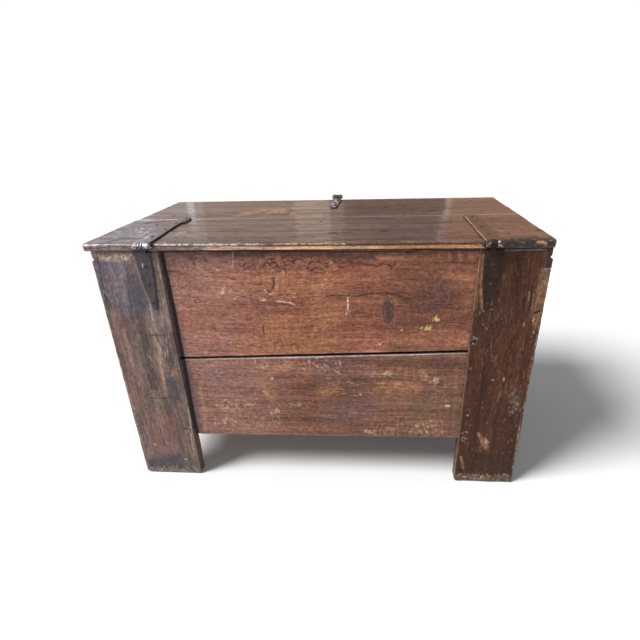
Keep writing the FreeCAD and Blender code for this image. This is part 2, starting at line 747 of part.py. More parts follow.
def make_hasp_strap():
    body = new_body("hasp_strap")
    near = beside("hasp_x", "hasp_strap_width / 2")
    far = beside("hasp_x", "hasp_strap_end_width / 2")
    tip = "lid_front - hasp_strap_length"
    leaf = [(far[0], tip), (far[1], tip), (near[1], "lid_front"), (near[1], "hasp_y"),
            (near[0], "hasp_y"), (near[0], "lid_front")]
    add(body, "XY_Plane", lambda s: draw_polygon(s, leaf),
        "lid_top", "lid_top + hasp_strap_thickness")
    axis = ("hasp_y", "hasp_z")
    add(body, "YZ_Plane", lambda s: draw_circle(s, axis, "hasp_eye"), *near)
    cut_block(body, beside("hasp_x", "hasp_middle_eye / 2 + eye_side_gap"),
              ("hasp_y - hasp_eye - hasp_neck_gap", "hasp_y + hasp_eye + cut_overrun"),
              ("lid_top - cut_overrun", "hasp_z + hasp_eye + cut_overrun"))
    cut_holes(body, "YZ_Plane", [axis], "hasp_bore",
              f"{near[0]} - cut_overrun", f"{near[1]} + cut_overrun")
    cut_holes(body, "XY_Plane", hasp_nail_places(), "nail_hole",
              "lid_top - cut_overrun", "lid_top + hasp_strap_thickness + cut_overrun")
    return body


def make_hasp():
    """The slotted hasp, hanging from its pin in front of the staple."""
    body = new_body("hasp")
    plate = beside("hasp_y", "hasp_thickness / 2")
    shoulder = "hasp_z - hasp_eye - hasp_neck_gap"
    tip = "hasp_z - hasp_length + hasp_tip_radius"
    wide = beside("hasp_x", "hasp_strap_width / 2")
    narrow = beside("hasp_x", "hasp_tip_radius")
    leaf = [(narrow[0], tip), (narrow[1], tip), (wide[1], shoulder), (wide[0], shoulder)]
    add(body, "XZ_Plane", lambda s: draw_polygon(s, leaf), *plate)
    add(body, "XZ_Plane", lambda s: draw_circle(s, ("hasp_x", tip), "hasp_tip_radius"), *plate)
    eye_width = beside("hasp_x", "hasp_middle_eye / 2")
    axis = ("hasp_y", "hasp_z")
    neck = rectangle(eye_width, (shoulder, "hasp_z"))
    add(body, "XZ_Plane", lambda s: draw_polygon(s, neck), *plate)
    add(body, "YZ_Plane", lambda s: draw_circle(s, axis, "hasp_ring"), *eye_width)
    cut_holes(body, "YZ_Plane", [axis], "hasp_bore",
              f"{eye_width[0]} - cut_overrun", f"{eye_width[1]} + cut_overrun")
    slot = rectangle(beside("hasp_x", "hasp_slot_width / 2"),
                     beside("staple_z", "hasp_slot_height / 2"))
    cut(body, "XZ_Plane", lambda s: draw_polygon(s, slot),
        f"{plate[0]} - cut_overrun", f"{plate[1]} + cut_overrun")
    return body


def staple_leg_places():
    return [("hasp_x", f"staple_z {sign} staple_loop") for sign in "-+"]


def plate_nail_places():
    """The plate's four nails, one in from each corner."""
    across = "staple_plate_width / 2 - plate_nail_margin"
    along = "staple_plate_height / 2 - plate_nail_margin"
    return [(f"hasp_x {a} ({across})", f"staple_z {b} ({along})") for a in "-+" for b in "-+"]


def make_staple():
    """A wire staple through the front board, its legs clenched inside."""
    across = value("hasp_x")
    middle = value("staple_z")
    loop = value("staple_loop")
    wire = value("staple_wire_radius")
    bend = value("staple_bend")
    inner = value("front_inside")
    crown = value("staple_face + staple_reach") - wire
    clench = value("staple_clench")
    quarter = bend * (1 - 0.5 ** 0.5)

    def place(deep, tall):
        return Vector(across, deep, tall)

    def clenched_leg(sign):
        """From the clenched end to where the loop starts."""
        leg = middle + sign * loop
        end = place(inner - bend, leg + sign * (bend + clench))
        low = place(inner - bend, leg + sign * bend)
        on_arc = place(inner - bend + quarter, leg + sign * quarter)
        start = place(inner, leg)
        out = place(crown - loop, leg)
        return [Part.LineSegment(end, low), Part.Arc(low, on_arc, start),
                Part.LineSegment(start, out)]

    lower = clenched_leg(-1)
    upper = clenched_leg(1)
    arc = Part.Arc(lower[-1].EndPoint, place(crown, middle), upper[-1].EndPoint)
    path = [piece.toShape() for piece in lower + [arc] + upper]
    spine = Part.Wire(Part.sortEdges(path)[0])
    start = spine.OrderedVertexes[0].Point
    circle = Part.Circle(start, Vector(0, 0, 1), wire)
    profile = Part.Wire([circle.toShape()])
    item = doc.addObject("Part::Feature", "staple")
    item.Label = "staple"
    item.Shape = spine.makePipeShell([profile], True, False)
    PARTS.append(item)


def make_staple_plate():
    body = new_body("staple_plate")
    outline = rectangle(beside("hasp_x", "staple_plate_width / 2"),
                        beside("staple_z", "staple_plate_height / 2"))
    sheet_iron = ("staple_face", "staple_face + staple_plate_thickness")
    add(body, "XZ_Plane", lambda s: draw_polygon(s, outline), *sheet_iron)
    overrun = (f"{sheet_iron[0]} - cut_overrun", f"{sheet_iron[1]} + cut_overrun")
    cut_holes(body, "XZ_Plane", staple_leg_places(),
              "staple_wire_radius + nail_hole_clearance", *overrun)
    cut_holes(body, "XZ_Plane", plate_nail_places(), "plate_nail_hole", *overrun)
    nails = [small_nail((across, "staple_face + staple_plate_thickness", level), (0, 1, 0))
             for across, level in plate_nail_places()]
    group("staple_plate_nails", nails)


def make_case():
    widths = {("rear", "left"): "rear_left_stile_width",
              ("rear", "right"): "rear_right_stile_width",
              ("front", "left"): "front_stile_width", ("front", "right"): "front_stile_width"}
    for (side, end), width in widths.items():
        make_stile(side, end, width)
    rear_lower = make_long_board("rear", "lower", ("rear_bottom_left", "rear_bottom_right"),
                                 ("rear_middle_left", "rear_middle_right"))
    make_batten_housings(rear_lower, "rear")
    bottoms = ("rear_middle_left + rear_gap_left", "rear_middle_right + rear_gap_right")
    make_long_board("rear", "upper", bottoms, ("board_top", "board_top"))
    front_lower = make_long_board("front", "lower", ("front_bottom",) * 2,
                                  ("front_middle",) * 2)
    make_batten_housings(front_lower, "front")
    front_upper = make_long_board("front", "upper", ("front_middle + front_gap",) * 2,
                                  ("board_top",) * 2)
    cut_holes(front_upper, "XZ_Plane", staple_leg_places(),
              "staple_wire_radius + nail_hole_clearance",
              "front_inside - cut_overrun", "staple_face + cut_overrun")
    cut_holes(front_upper, "XZ_Plane", plate_nail_places(), "plate_nail_hole",
              "staple_face - plate_nail_length", "staple_face + cut_overrun")
    for end in ENDS:
        make_end_board(f"{end}_end_lower_board", end, "end_board_bottom", "end_board_middle")
        make_end_board(f"{end}_end_upper_board", end, "end_board_middle + end_board_gap",
                       "board_top")
        make_top_rail(end)
        make_bottom_rail(end)
    make_floor()
    for side, (face, deeper) in SIDES.items():
        along = (0, 1, 0) if deeper == "+" else (0, -1, 0)
        pegs = [peg((across, face, height), along, "peg_radius", "stile_thickness")
                for end in ENDS for across, height in peg_places(side, end, "lower", "upper")]
        group(f"{side}_stile_pegs", pegs)
    rail_pegs = []
    for outer, inward in ENDS.values():
        along = (1, 0, 0) if inward == "+" else (-1, 0, 0)
        for face, deeper in SIDES.values():
            place = (outer, f"{face} {deeper} stile_thickness / 2",
                     "(top_rail_bottom + rebate_level) / 2")
            rail_pegs.append(peg(place, along, "rail_peg_radius", "rail_peg_length"))
    group("rail_pegs", rail_pegs)


make_case()
make_lid()
make_hinges()
make_hasp_strap()
hasp_nails = [iron_nail((across, along, "lid_top + hasp_strap_thickness"), (0, 0, 1),
                        "strap_nail_length") for across, along in hasp_nail_places()]
group("hasp_strap_nails", hasp_nails)
make_pin("hasp_pin", "hasp_x", "hasp_strap_width", ("hasp_y", "hasp_z"),
         "hasp_pin_radius", "hasp_pin_head_radius", "hasp_pin_head_length")
make_hasp()
make_staple()
make_staple_plate()

doc.recompute()
for item in doc.Objects:
    if "Invalid" in item.State or "Error" in item.State:
        raise RuntimeError(f"{item.Name} of {item.Label} did not build: {item.State}")
for item in PARTS:
    if item.Shape.isNull() or not item.Shape.isValid() or not item.Shape.Solids:
        raise RuntimeError(f"{item.Label} is not a sound solid")

os.makedirs("parts", exist_ok=True)
box = FreeCAD.BoundBox()
for item in PARTS:
    item.Shape.exportStep(f"parts/{item.Label}.step")
    box.add(item.Shape.BoundBox)
    print(item.Label, len(item.Shape.Solids), round(item.Shape.Volume))
print(len(PARTS), "sub-parts, box", box)
for name in ("hinge_y", "hinge_z", "hasp_y", "hasp_z"):
    print(name, round(value(name), 3))
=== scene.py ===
import math

import bmesh
import bpy
from mathutils import Matrix
import numpy as np


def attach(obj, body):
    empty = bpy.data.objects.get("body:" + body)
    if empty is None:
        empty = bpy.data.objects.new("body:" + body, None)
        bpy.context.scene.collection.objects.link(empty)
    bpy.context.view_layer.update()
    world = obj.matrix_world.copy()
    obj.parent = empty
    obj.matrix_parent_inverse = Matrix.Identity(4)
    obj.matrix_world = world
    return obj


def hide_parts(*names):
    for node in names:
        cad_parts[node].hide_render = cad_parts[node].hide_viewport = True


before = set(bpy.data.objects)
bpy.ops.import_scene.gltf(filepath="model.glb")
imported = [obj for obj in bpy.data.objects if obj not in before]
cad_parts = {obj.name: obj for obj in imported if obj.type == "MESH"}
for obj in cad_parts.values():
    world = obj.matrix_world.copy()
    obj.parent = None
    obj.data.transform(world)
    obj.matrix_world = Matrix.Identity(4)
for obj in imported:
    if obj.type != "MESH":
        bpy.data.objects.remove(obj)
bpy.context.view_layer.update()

MM = 0.001

# places and sizes, in millimetres
REAR, FRONT = -333.7, 331.3
CASE_LEFT, CASE_RIGHT = -598.0, 609.0
REAR_EDGES = (-410.0, 427.0)
FRONT_EDGES = (-413.0, 424.0)
STILE_TOP, STILE_THICK = 761.0, 38.0
BOARD_TOP, BOARD_THICK, RECESS, TONGUE = 757.0, 24.0, 6.5, 3.0
REAR_UPPER_FOOT, REAR_LOWER_HEAD, REAR_LOWER_FOOT = (438.2, 470.4), (429.9, 461.1), (159.0, 168.0)
FRONT_UPPER_FOOT, FRONT_LOWER_HEAD, FRONT_LOWER_FOOT = 449.0, 446.0, 163.0
RAIL_DEEP, TOP_RAIL_LOW, BOTTOM_RAIL = 20.0, 705.0, (152.0, 204.0)
END_THICK, END_BOARDS = 20.0, {"lower": (168.0, 455.0), "upper": (457.5, BOARD_TOP)}
LID_TOP, LID_THICK = 780.0, 19.0
LID_LEFT, LID_RIGHT, LID_REAR, LID_FRONT = -610.0, 610.0, -340.7, 343.3
LID_JOINT, LID_JOINT_RISE, LID_JOINT_GAP = 313.0, 32.0, 1.2
LID_BATTENS = {"left": -510.0, "middle": 0.0, "right": 510.0}
LID_BATTEN_THICK, FLOOR_BATTEN_THICK = 24.0, 25.0
FLOOR_TOP, FLOOR_THICK, FLOOR_GAP, FLOOR_MARGIN = 215.0, 18.0, 2.0, 42.0
FLOOR_BATTENS = {"left": -360.0, "middle": 0.0, "right": 360.0}
STRAP_LEFT, STRAP_RIGHT, STRAP_PROUD = -442.0, 455.0, 4.4
LOWER_STRAP_TOP, LOWER_STRAP_LONG = 758.0, 167.0
UPPER_LEFT_LONG, UPPER_RIGHT_LONG, HASP_STRAP_LONG = 345.0, 322.0, 190.0
HASP_ACROSS, PLATE_FACE, PLATE_MIDDLE = 22.0, 327.2, 690.35
PEG_FROM_EDGE, UPPER_PEG, RAIL_PEG, RAIL_PEG_LONG = 11, 700.0, 720.0, 52.0

# camera of the photograph
EYE = np.array([0.1559, -1.5078, 1.0591])
YAW, PITCH, ROLL = math.radians(-4.893), math.radians(26.728), math.radians(1.670)
FOCAL_PX, CENTRE_PX, PHOTO_PX = 463.08, (335.46, 351.63), 640
PX_PER_MM = 0.39
SENSOR = 36.0


def camera_axes():
    """Right, down and forward of the camera, in the row frame."""
    forward = np.array([math.sin(YAW) * math.cos(PITCH), math.cos(YAW) * math.cos(PITCH),
                        -math.sin(PITCH)])
    right = np.array([math.cos(YAW), -math.sin(YAW), 0.0])
    down = np.cross(forward, right)
    return np.array([math.cos(ROLL) * right + math.sin(ROLL) * down,
                     -math.sin(ROLL) * right + math.cos(ROLL) * down, forward])


AXES = camera_axes()


def in_picture(points):
    """Where points, in metres, lie in the picture, in pixels from its top left corner."""
    q = (np.asarray(points, float) - EYE) @ AXES.T
    return np.stack([CENTRE_PX[0] + FOCAL_PX * q[:, 0] / q[:, 2],
                     CENTRE_PX[1] + FOCAL_PX * q[:, 1] / q[:, 2]], axis=1)


def add_object(name, data):
    item = bpy.data.objects.new(name, data)
    bpy.context.scene.collection.objects.link(item)
    return item


def turn(item, right, up, back, at=(0, 0, 0)):
    """Set a camera or light at a point, with its own axes along these directions."""
    matrix = np.eye(4)
    matrix[:3] = np.c_[right, up, back, at]
    item.matrix_world = Matrix(matrix.tolist())


def make_camera():
    data = bpy.data.cameras.new("photo_camera")
    data.sensor_width = SENSOR
    data.lens = SENSOR * FOCAL_PX / PHOTO_PX
    data.shift_x = -(CENTRE_PX[0] - PHOTO_PX / 2) / PHOTO_PX
    data.shift_y = (CENTRE_PX[1] - PHOTO_PX / 2) / PHOTO_PX
    data.clip_start = 0.05
    data.clip_end = 60.0
    camera = add_object("photo_camera", data)
    turn(camera, AXES[0], -AXES[1], -AXES[2], EYE)
    bpy.context.scene.camera = camera


# noise and colours
def lattice(p, seed):
    """Smooth noise between -1 and 1 at each row of p."""
    p = np.asarray(p, float)
    cell = np.floor(p).astype(np.int64)
    part = p - cell
    part = part * part * (3 - 2 * part)
    total = np.zeros(len(p))
    for corner in range(8):
        step = np.array([corner & 1, corner >> 1 & 1, corner >> 2 & 1])
        at = cell + step
        code = (at[:, 0] * 374761393 + at[:, 1] * 668265263 + at[:, 2] * 1440662683
                + seed * 974634777) & 0x7FFFFFFF
        code = ((code ^ (code >> 13)) * 1274126177) & 0x7FFFFFFF
        code = code ^ (code >> 16)
        weight = np.prod(np.where(step, part, 1 - part), axis=1)
        total += weight * ((code & 0xFFFF) / 32767.5 - 1)
    return total


def noise(p, size, seed, octaves=3, gain=0.5):
    """Layered smooth noise with features of that size, the same unit as p."""
    total, weight, norm = 0, 1.0, 0.0
    size = np.asarray(size, float)
    for octave in range(octaves):
        total = total + weight * lattice(np.asarray(p) / size * 2 ** octave, seed + 31 * octave)
        norm += weight
        weight *= gain
    return total / norm


def level(flat, height=0.0):
    """Points of a plane as points of space at that height, for the noise."""
    return np.c_[flat, np.full(len(flat), height)]


def linear(red, green, blue):
    """A display colour from 0 to 255 as linear light."""
    values = []
    for value in (red, green, blue):
        value /= 255.0
        values.append(value / 12.92 if value <= 0.04045 else ((value + 0.055) / 1.055) ** 2.4)
    return tuple(values)


def smooth(low, high, value):
    t = np.clip((value - low) / (high - low), 0, 1)
    return t * t * (3 - 2 * t)


# materials
class Recipe:
    """The nodes of a material or of the world, with a short call for each kind of step."""

    def __init__(self, owner, output="ShaderNodeOutputMaterial"):
        owner.use_nodes = True
        self.owner = owner
        self.tree = owner.node_tree
        self.tree.nodes.clear()
        self.output = self.put(output)

    def put(self, kind, inputs=None, **settings):
        """A new node. Each of its inputs is a link or a value."""
        item = self.tree.nodes.new(kind)
        for key, setting in settings.items():
            setattr(item, key, setting)
        self.feed(item, inputs or {})
        return item

    def feed(self, item, inputs):
        for key, given in inputs.items():
            socket = item.inputs[key]
            if isinstance(given, bpy.types.NodeSocket):
                self.tree.links.new(given, socket)
            elif socket.type == "RGBA":
                socket.default_value = (*given, 1.0)
            else:
                socket.default_value = given

    def finish(self, shader):
        self.feed(self.output, {0: shader.outputs[0]})
        return self.owner

    def work(self, operation, *inputs, clamp=False):
        return self.put("ShaderNodeMath", dict(enumerate(inputs)), operation=operation,
                        use_clamp=clamp).outputs[0]

    def times(self, a, b, clamp=False):
        return self.work("MULTIPLY", a, b, clamp=clamp)

    def total(self, *pairs):
        """The sum of values, each times its weight."""
        terms = [self.times(value, weight) for value, weight in pairs]
        result = terms[0]
        for term in terms[1:]:
            result = self.work("ADD", result, term)
        return result

    def vector(self, operation, inputs):
        return self.put("ShaderNodeVectorMath", inputs, operation=operation).outputs[0]

    def mix(self, factor, a, b):
        return self.put("ShaderNodeMix", {0: factor, 6: a, 7: b}, data_type="RGBA").outputs[2]

    def ramp(self, factor, stops, ease=False):
        item = self.put("ShaderNodeValToRGB", {0: factor})
        if ease:
            item.color_ramp.interpolation = "EASE"
        elements = item.color_ramp.elements
        while len(elements) < len(stops):
            elements.new(0.5)
        for element, (place, colour) in zip(elements, stops):
            element.position = place
            element.color = (*colour, 1.0)
        return item.outputs[0]

    def mask(self, factor, low, high, first=0.0, last=1.0, ease=False):
        """A share that goes from first to last while the factor goes from low to high."""
        return self.ramp(factor, [(low, (first,) * 3), (high, (last,) * 3)], ease)

    def noise(self, vector, scale, detail=3.0, rough=0.55, distortion=0.0):
        return self.put("ShaderNodeTexNoise",
                        {"Vector": vector, "Scale": scale, "Detail": detail, "Roughness": rough,
                         "Distortion": distortion}).outputs[0]

    def moved(self, vector, shift, factors=(1, 1, 1)):
        return self.put("ShaderNodeMapping",
                        {"Vector": vector, "Scale": factors,
                         "Location": (shift, shift * 0.7, shift * 1.3)}).outputs[0]

    def mesh_value(self, name):
        return self.put("ShaderNodeAttribute", attribute_name=name).outputs["Fac"]

    def bump(self, strength, height):
        return self.put("ShaderNodeBump", {"Strength": strength, "Distance": 0.0012,
                                           "Height": height}).outputs[0]


# The layers of the oak's pattern. along and across say how far each is squeezed along the
# grain and across it, so that it runs long there.
OAK_LAYERS = {
    "broad": dict(scale=34.0, detail=5.0, rough=0.62, along=0.035, distortion=0.3),
    "lines": dict(scale=150.0, detail=4.0, rough=0.7, along=0.035),
    "pores": dict(scale=520.0, detail=2.0, rough=0.6, along=0.06),
    "tone": dict(scale=7.0, detail=5.0, rough=0.6, along=0.3, shift=3),
    "stains": dict(scale=4.3, detail=4.0, rough=0.55, along=0.3, shift=9),
    "rays": dict(scale=330.0, detail=3.0, rough=0.6, across=0.12, shift=5),
    "area": dict(scale=9.0, detail=2.0, rough=0.55, shift=17),
    "dents": dict(scale=200.0, detail=5.0, rough=0.76, along=0.42, shift=13, distortion=0.5),
    "saw": dict(scale=185.0, detail=3.0, rough=0.6, across=0.12, shift=7),
    "specks": dict(scale=260.0, detail=3.0, rough=0.65, shift=23),
    "zone": dict(scale=12.0, detail=3.0, rough=0.6, shift=29),
}
WAX_RIPPLE = dict(scale=38.0, detail=4.0, rough=0.6, along=0.3)
USUAL_OAK = dict(rough=0.45, coat=0.0, coat_rough=0.15, pores=0.6, flecks=0.25, scuffs=0.25,
                 bump=0.5, worn=(186, 160, 134), blotch=0.5, specular=0.25, streak=0.8, grit=3.0,
                 ticks=0.45)
GRIME, GRIME_COLOUR = 0.35, linear(34, 27, 26)
SCUFF_COLOUR = linear(196, 164, 136)


class Oak(Recipe):
    """Old oak with its grain along one axis. Marks and worn edges come from the mesh."""

    def __init__(self, name, axis, tones, seed, look):
        super().__init__(bpy.data.materials.new(name))
        self.axis, self.seed, self.look = axis, seed, {**USUAL_OAK, **look}
        self.tones = [linear(*tone) for tone in tones]
        self.place = self.wandering_place()
        self.layer = {name: self.pattern(**row) for name, row in OAK_LAYERS.items()}
        self.layer["holes"] = self.mask(self.layer["pores"], 0.56, 0.68)
        self.paint = self.put("ShaderNodeAttribute", attribute_name="paint").outputs

    def wandering_place(self):
        """The object's own coordinates, a little bent, so that the grain isn't straight."""
        place = self.put("ShaderNodeTexCoord").outputs["Object"]
        wander = self.put("ShaderNodeTexNoise", {"Vector": place, "Scale": 2.2, "Detail": 2.0})
        offset = self.vector("SUBTRACT", {0: wander.outputs[1], 1: (0.5, 0.5, 0.5)})
        offset = self.vector("SCALE", {0: offset, "Scale": 0.06})
        return self.vector("ADD", {0: place, 1: offset})

    def pattern(self, scale, detail, rough, along=1, across=1, shift=0, distortion=0.0):
        factors = tuple(along if letter == self.axis else across for letter in "xyz")
        return self.noise(self.moved(self.place, self.seed + shift, factors), scale, detail,
                          rough, distortion)

    def bare(self):
        """The wood's own colour, with stains, open pores, flecks and small pale scuffs."""
        layer, look = self.layer, self.look
        dark, middle, light = self.tones
        figure = self.total((layer["broad"], 0.42), (layer["lines"], 0.3), (layer["tone"], 0.28))
        colour = self.ramp(figure, [(0.36, dark), (0.5, middle), (0.66, light)])
        stains = self.mask(layer["stains"], 0.4, 0.62, 1.0, 0.0, ease=True)
        flecks = self.times(self.mask(layer["rays"], 0.5, 0.66),
                            self.mask(layer["area"], 0.45, 0.6))
        scuffs = self.times(self.mask(layer["specks"], 0.6, 0.7),
                            self.mask(layer["zone"], 0.5, 0.66))
        for share, amount, tint in (
                (stains, look["blotch"], tuple(0.5 * c for c in dark)),
                (layer["holes"], look["pores"], tuple(0.3 * c for c in dark)),
                (flecks, look["flecks"], light), (scuffs, look["scuffs"], SCUFF_COLOUR)):
            colour = self.mix(self.times(share, amount), colour, tint)
        return colour

    def shade(self):
        """Light and dark at the scale of the grain, of dents and of saw marks."""
        layer, look = self.layer, self.look
        lines, dents, saw = (self.work("SUBTRACT", layer[name], 0.5)
                             for name in ("lines", "dents", "saw"))
        sawn = self.times(saw, self.mask(layer["area"], 0.4, 0.6, 0.15))
        shade = self.total((lines, look["streak"]), (dents, look["grit"]),
                           (sawn, look["ticks"]))
        return self.work("MAXIMUM", self.work("ADD", shade, 1.0), 0.3)

    def wear(self):
        """Where an arris is worn to bare wood, in a broken line."""
        free = self.work("SUBTRACT", 1.0, self.times(self.paint["Alpha"], 0.85))
        wear = self.times(self.mesh_value("wear"), free, clamp=True)
        patchy = self.mask(self.noise(self.place, 140.0, 4.0, 0.7), 0.36, 0.6, 0.1)
        return self.times(wear, patchy, clamp=True)

    def wax(self):
        """The coat's inputs: polish that gathers in streaks and keeps off the marks."""
        coat = self.look["coat"]
        weight = self.work("MULTIPLY_ADD", self.paint["Alpha"], -0.9 * coat, coat)
        streaks = self.total((self.layer["lines"], 2.6), (self.layer["dents"], 1.8),
                             (self.layer["broad"], 2.4))
        weight = self.times(weight, self.work("SUBTRACT", streaks, 2.4), clamp=True)
        ripple = self.total((self.pattern(**WAX_RIPPLE), 1.0), (self.layer["lines"], 0.22))
        return {"Coat Weight": weight, "Coat Roughness": self.look["coat_rough"],
                "Coat Normal": self.bump(0.12, ripple)}

    def make(self):
        layer, look = self.layer, self.look
        veined = self.work("MULTIPLY_ADD", layer["lines"], 0.9, 0.55)
        cover = self.times(self.paint["Alpha"], veined, clamp=True)
        colour = self.mix(cover, self.bare(), self.paint["Color"])
        colour = self.vector("SCALE", {0: colour, "Scale": self.shade()})
        worn = self.wear()
        colour = self.mix(worn, colour, linear(*look["worn"]))
        dirt = self.times(self.mesh_value("dirt"), GRIME, clamp=True)
        colour = self.mix(dirt, colour, GRIME_COLOUR)
        rough = self.work("MULTIPLY_ADD", layer["zone"], 0.25, look["rough"] - 0.12)
        rough = self.work("ADD", rough, self.times(worn, 0.25), clamp=True)
        height = self.total((layer["lines"], 0.7), (layer["holes"], -0.5), (layer["broad"], 0.8),
                            (layer["specks"], 0.25), (layer["dents"], 0.9))
        shader = self.put("ShaderNodeBsdfPrincipled",
                          {"Base Color": colour, "Roughness": rough,
                           "Specular IOR Level": look["specular"],
                           "Normal": self.bump(look["bump"], height)})
        if look["coat"]:
            self.feed(shader, self.wax())
        return self.finish(shader)


def oak(name, axis, dark, middle, light, seed, **look):
    return Oak("oak_" + name, axis, (dark, middle, light), seed, look).make()


def iron(name, dark, light, rust, seed, rough=0.5, metal=0.2, rust_amount=0.45, polish=0.5,
         specular=0.5):
    """Forge-blackened iron with rust in patches and rubbed edges."""
    recipe = Recipe(bpy.data.materials.new("iron_" + name))
    place = recipe.moved(recipe.put("ShaderNodeTexCoord").outputs["Object"], seed)
    skin = recipe.noise(place, 95.0, 6.0, 0.7)
    patch = recipe.noise(place, 26.0, 5.0, 0.6)
    pits = recipe.mask(recipe.noise(place, 420.0, 3.0, 0.6), 0.62, 0.72)
    paint = recipe.put("ShaderNodeAttribute", attribute_name="paint").outputs
    rubbed = recipe.times(recipe.mesh_value("wear"), recipe.mask(skin, 0.4, 0.6, 0.2), clamp=True)
    bright = tuple(min(1.0, 2.6 * c + 0.03) for c in linear(*light))
    colour = recipe.ramp(skin, [(0.38, linear(*dark)), (0.66, linear(*light))])
    for share, amount, tint in ((recipe.mask(patch, 0.48, 0.62), rust_amount, linear(*rust)),
                                (pits, 0.6, linear(14, 12, 13)), (rubbed, polish, bright)):
        colour = recipe.mix(recipe.times(share, amount), colour, tint)
    colour = recipe.mix(paint["Alpha"], colour, paint["Color"])
    height = recipe.total((skin, 1.0), (patch, 0.8), (pits, -0.4))
    gloss = recipe.work("MULTIPLY_ADD", skin, 0.35, rough - 0.17)
    return recipe.finish(recipe.put(
        "ShaderNodeBsdfPrincipled", {"Base Color": colour, "Metallic": metal,
                                     "Specular IOR Level": specular, "Roughness": gloss,
                                     "Normal": recipe.bump(0.45, height)}))


# marks on the wood and iron
INKS = {
    "dark": (46, 33, 32), "brown": (92, 62, 50), "pale": (196, 168, 142),
    "bone": (220, 204, 186), "straw": (226, 208, 132), "grey": (112, 106, 108),
    "slate": (84, 84, 100), "orange": (180, 124, 84), "tan": (172, 134, 106),
    "red": (142, 84, 66), "umber": (62, 42, 36), "violet": (100, 80, 86),
    "amber": (204, 144, 100), "silver": (178, 174, 180), "frost": (214, 222, 230),
    "navy": (46, 46, 58), "coal": (20, 16, 18), "olive": (104, 90, 70),
    "pitch": (20, 20, 30), "mauve": (176, 130, 122), "dust": (156, 130, 122),
    "smoke": (72, 54, 52), "gold": (255, 218, 180), "honey": (222, 172, 140),
    "steel": (104, 104, 132), "raw": (134, 106, 78), "blaze": (255, 198, 146),
}


def drawn(ink, cover, width, soft, *lines, depth=0.0, broken=0.3):
    """Strokes along lines of points in the picture, each line a text. Sizes are in pixels."""
    strokes = []
    for line in lines:
        points = [tuple(float(c) for c in pair.split(",")) for pair in line.split()]
        strokes.append((ink, cover, width, soft, depth, broken, points))
    return strokes


def strewn(ink, cover, count, area, size, tilt, width=0.9, spread=25, depth=0.0):
    """Short strokes, thickest in the middle of an area: its left, top, right and bottom.
    On a large area they lie evenly."""
    left, top, right, bottom = (float(c) for c in area.split())
    rng = np.random.default_rng(abs(int(left * 31 + top * 17)) + count)
    strokes = []
    large = (right - left) > 45 or (bottom - top) > 45
    for _ in range(count):
        from_middle = np.clip(rng.normal(0, 0.27, 2), -0.5, 0.5)
        centre = np.array([(left + right) / 2 + from_middle[0] * (right - left),
                           (top + bottom) / 2 + from_middle[1] * (bottom - top)])
        if large:
            centre = np.array([rng.uniform(left, right), rng.uniform(top, bottom)])
        angle = math.radians(tilt + rng.normal(0, spread))
        reach = size * rng.uniform(0.25, 1.0) / 2 * np.array([math.cos(angle), math.sin(angle)])
        belly = rng.normal(0, 0.15) * np.array([-reach[1], reach[0]])
        strokes.append((ink, cover * rng.uniform(0.3, 1.0), width * rng.uniform(0.7, 1.3), 0.8,
                        depth, 0.2, [centre - reach, centre + belly, centre + reach]))
    return strokes


